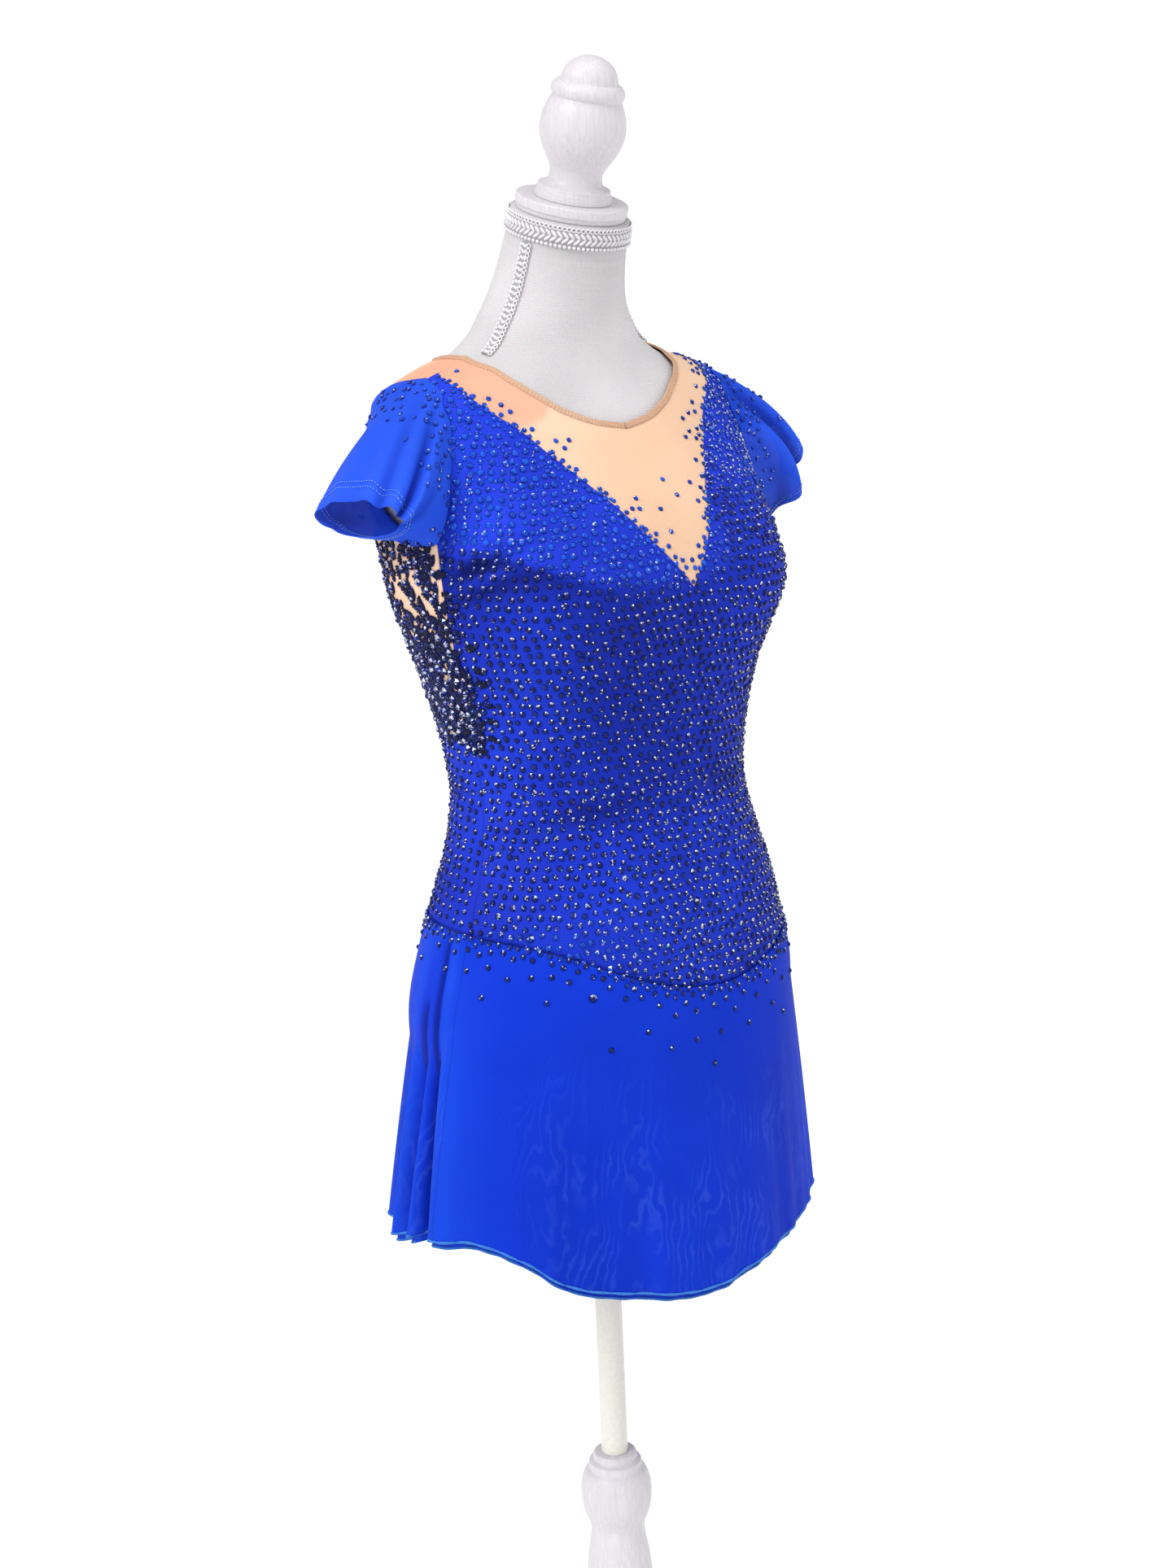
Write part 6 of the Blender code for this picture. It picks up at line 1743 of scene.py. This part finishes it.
ringAngle = np.linspace(-180.0, 180.0, 240, endpoint=False)
makeBraid("neck_braid_band", np.full(240, 1.4580), ringAngle, 0.0080, True, "neck_braid")
braidHeight, braidAngle = np.linspace(1.4495, 1.3710, 60), 80.0 - 3.0 * np.linspace(0.0, 1.0, 60)
makeBraid("side_braid_band_right", braidHeight, -braidAngle, 0.0042, False, "side_braid_right")
makeBraid("side_braid_band_left", braidHeight, braidAngle, 0.0042, False, "side_braid_left")
print("braid made")


# sheets of cloth
def meshArea(obj):
    areas = np.empty(len(obj.data.polygons), np.float32)
    obj.data.polygons.foreach_get("area", areas)
    return float(areas.sum())


sheets = {
    "bodice_front_cloth": ((0.46, 0.50), "stretched", ["form_torso"]),
    "bodice_back_cloth": ((0.42, 0.19), "stretched", ["form_torso"]),
    "yoke_front_mesh": ((0.28, 0.185), "stretched", ["form_torso"]),
    "yoke_back_mesh": ((0.46, 0.34), "stretched", ["form_torso"]),
    "cap_sleeve_right": ((0.40, 0.12), "hung", ["bodice_front"]),
    "cap_sleeve_left": ((0.40, 0.12), "hung", ["bodice_front"]),
    "skirt_front_cloth": ((0.48, 0.29), "hung", ["bodice_front"]),
    "skirt_back_cloth": ((0.60, 0.26), "hung", ["bodice_back"]),
    "underskirt_front_cloth": ((0.46, 0.30), "hung", ["bodice_front"]),
    "underskirt_back_cloth": ((0.58, 0.27), "hung", ["bodice_back"]),
}
for name, (flat, held, rests) in sheets.items():
    sheet = bpy.data.objects[name]
    meshArea(sheet)

# floor, light, camera
stageLook = {
    "floorSize": 60.0, "floorTone": (0.93, 0.93, 0.93), "sky": 0.45, "horizon": 1.06,
    # soft suns: name, turn from the centre front, height in degrees, strength, softness in degrees
    "suns": [
        ("key", -88.0, 38.0, 1.70, 28.0), ("top", -20.0, 72.0, 1.20, 45.0), ("fill", 20.0, 25.0, 0.38, 80.0),
    ],
}


def makeStage():
    look = stageLook
    turn = np.linspace(-1.0, 1.0, 41)
    x, y = np.meshgrid(turn * look["floorSize"], turn * look["floorSize"], indexing="ij")
    grid = np.stack([x, y, 0.0 * x], axis=-1)
    material, tree, shader = newMaterial("pale_floor")
    noise = addNoise(tree, objectPlace(tree), 2.0, 3.0)
    light = look["floorTone"]
    feed(tree, shader, {
        "Base Color": ramp(tree, (noise, "Fac"), (0.3, tuple(0.985 * c for c in light)), (0.7, light)),
        "Roughness": 0.9, "Specular IOR Level": 0.1,
    })
    floor = bpy.data.objects.new("floor", makeMesh("floor", grid, [gridFaces(41, 41)[:, ::-1]], smooth=False))
    floor.data.materials.append(material)
    scene.collection.objects.link(floor)
    # white near the horizon, softer above
    world = bpy.data.worlds.new("studio")
    world.use_nodes = True
    tree = world.node_tree
    split = addNode(tree, "SeparateXYZ", {"Vector": (addNode(tree, "TexCoord", {}), "Generated")})
    sky, horizon = look["sky"], look["horizon"]
    tone = ramp(tree, (split, "Z"), (0.10, (horizon, horizon, horizon)), (0.30, (sky, sky, sky * 1.03)))
    feed(tree, tree.nodes["Background"], {"Color": tone})
    scene.world = world
    scene.view_settings.view_transform = "Standard"
    for name, turn, rise, strength, soft in look["suns"]:
        lamp = bpy.data.lights.new(name, "SUN")
        lamp.energy, lamp.angle = strength, math.radians(soft)
        holder = bpy.data.objects.new(name, lamp)
        turn, rise = math.radians(turn), math.radians(rise)
        flat = math.cos(rise)
        towards = Vector((math.sin(turn) * flat, -math.cos(turn) * flat, math.sin(rise)))
        holder.rotation_euler = towards.to_track_quat("Z", "Y").to_euler()
        scene.collection.objects.link(holder)


makeStage()

cameraLook = {
    "turn": 41.0, "distance": 1.78, "height": 1.451, "focal": 2900.0, "pitch": 13.1, "roll": 2.5, "yaw": 0.06,
    "photoHeight": 1927,
}


def makeCamera():
    look = cameraLook
    turn, pitch, roll = (math.radians(look[k]) for k in ("turn", "pitch", "roll"))
    place = np.array([-math.sin(turn) * look["distance"], -math.cos(turn) * look["distance"], look["height"]])
    heading = turn + math.radians(look["yaw"])
    level = np.array([math.sin(heading), math.cos(heading), 0.0])
    forward = level * math.cos(pitch) - np.array([0.0, 0.0, 1.0]) * math.sin(pitch)
    right = np.cross(forward, [0.0, 0.0, 1.0])
    right /= np.linalg.norm(right)
    up = np.cross(right, forward)
    rolledRight = right * math.cos(roll) - up * math.sin(roll)
    rolledUp = right * math.sin(roll) + up * math.cos(roll)
    data = bpy.data.cameras.new("camera")
    data.sensor_width = 36.0
    data.lens = look["focal"] * 36.0 / look["photoHeight"]
    camera = bpy.data.objects.new("camera", data)
    scene.collection.objects.link(camera)
    matrix = Matrix.Identity(4)
    for column, axis in enumerate((rolledRight, rolledUp, -forward, place)):
        for row in range(3):
            matrix[row][column] = axis[row]
    camera.matrix_world = matrix
    scene.camera = camera


makeCamera()
print("scene finished")
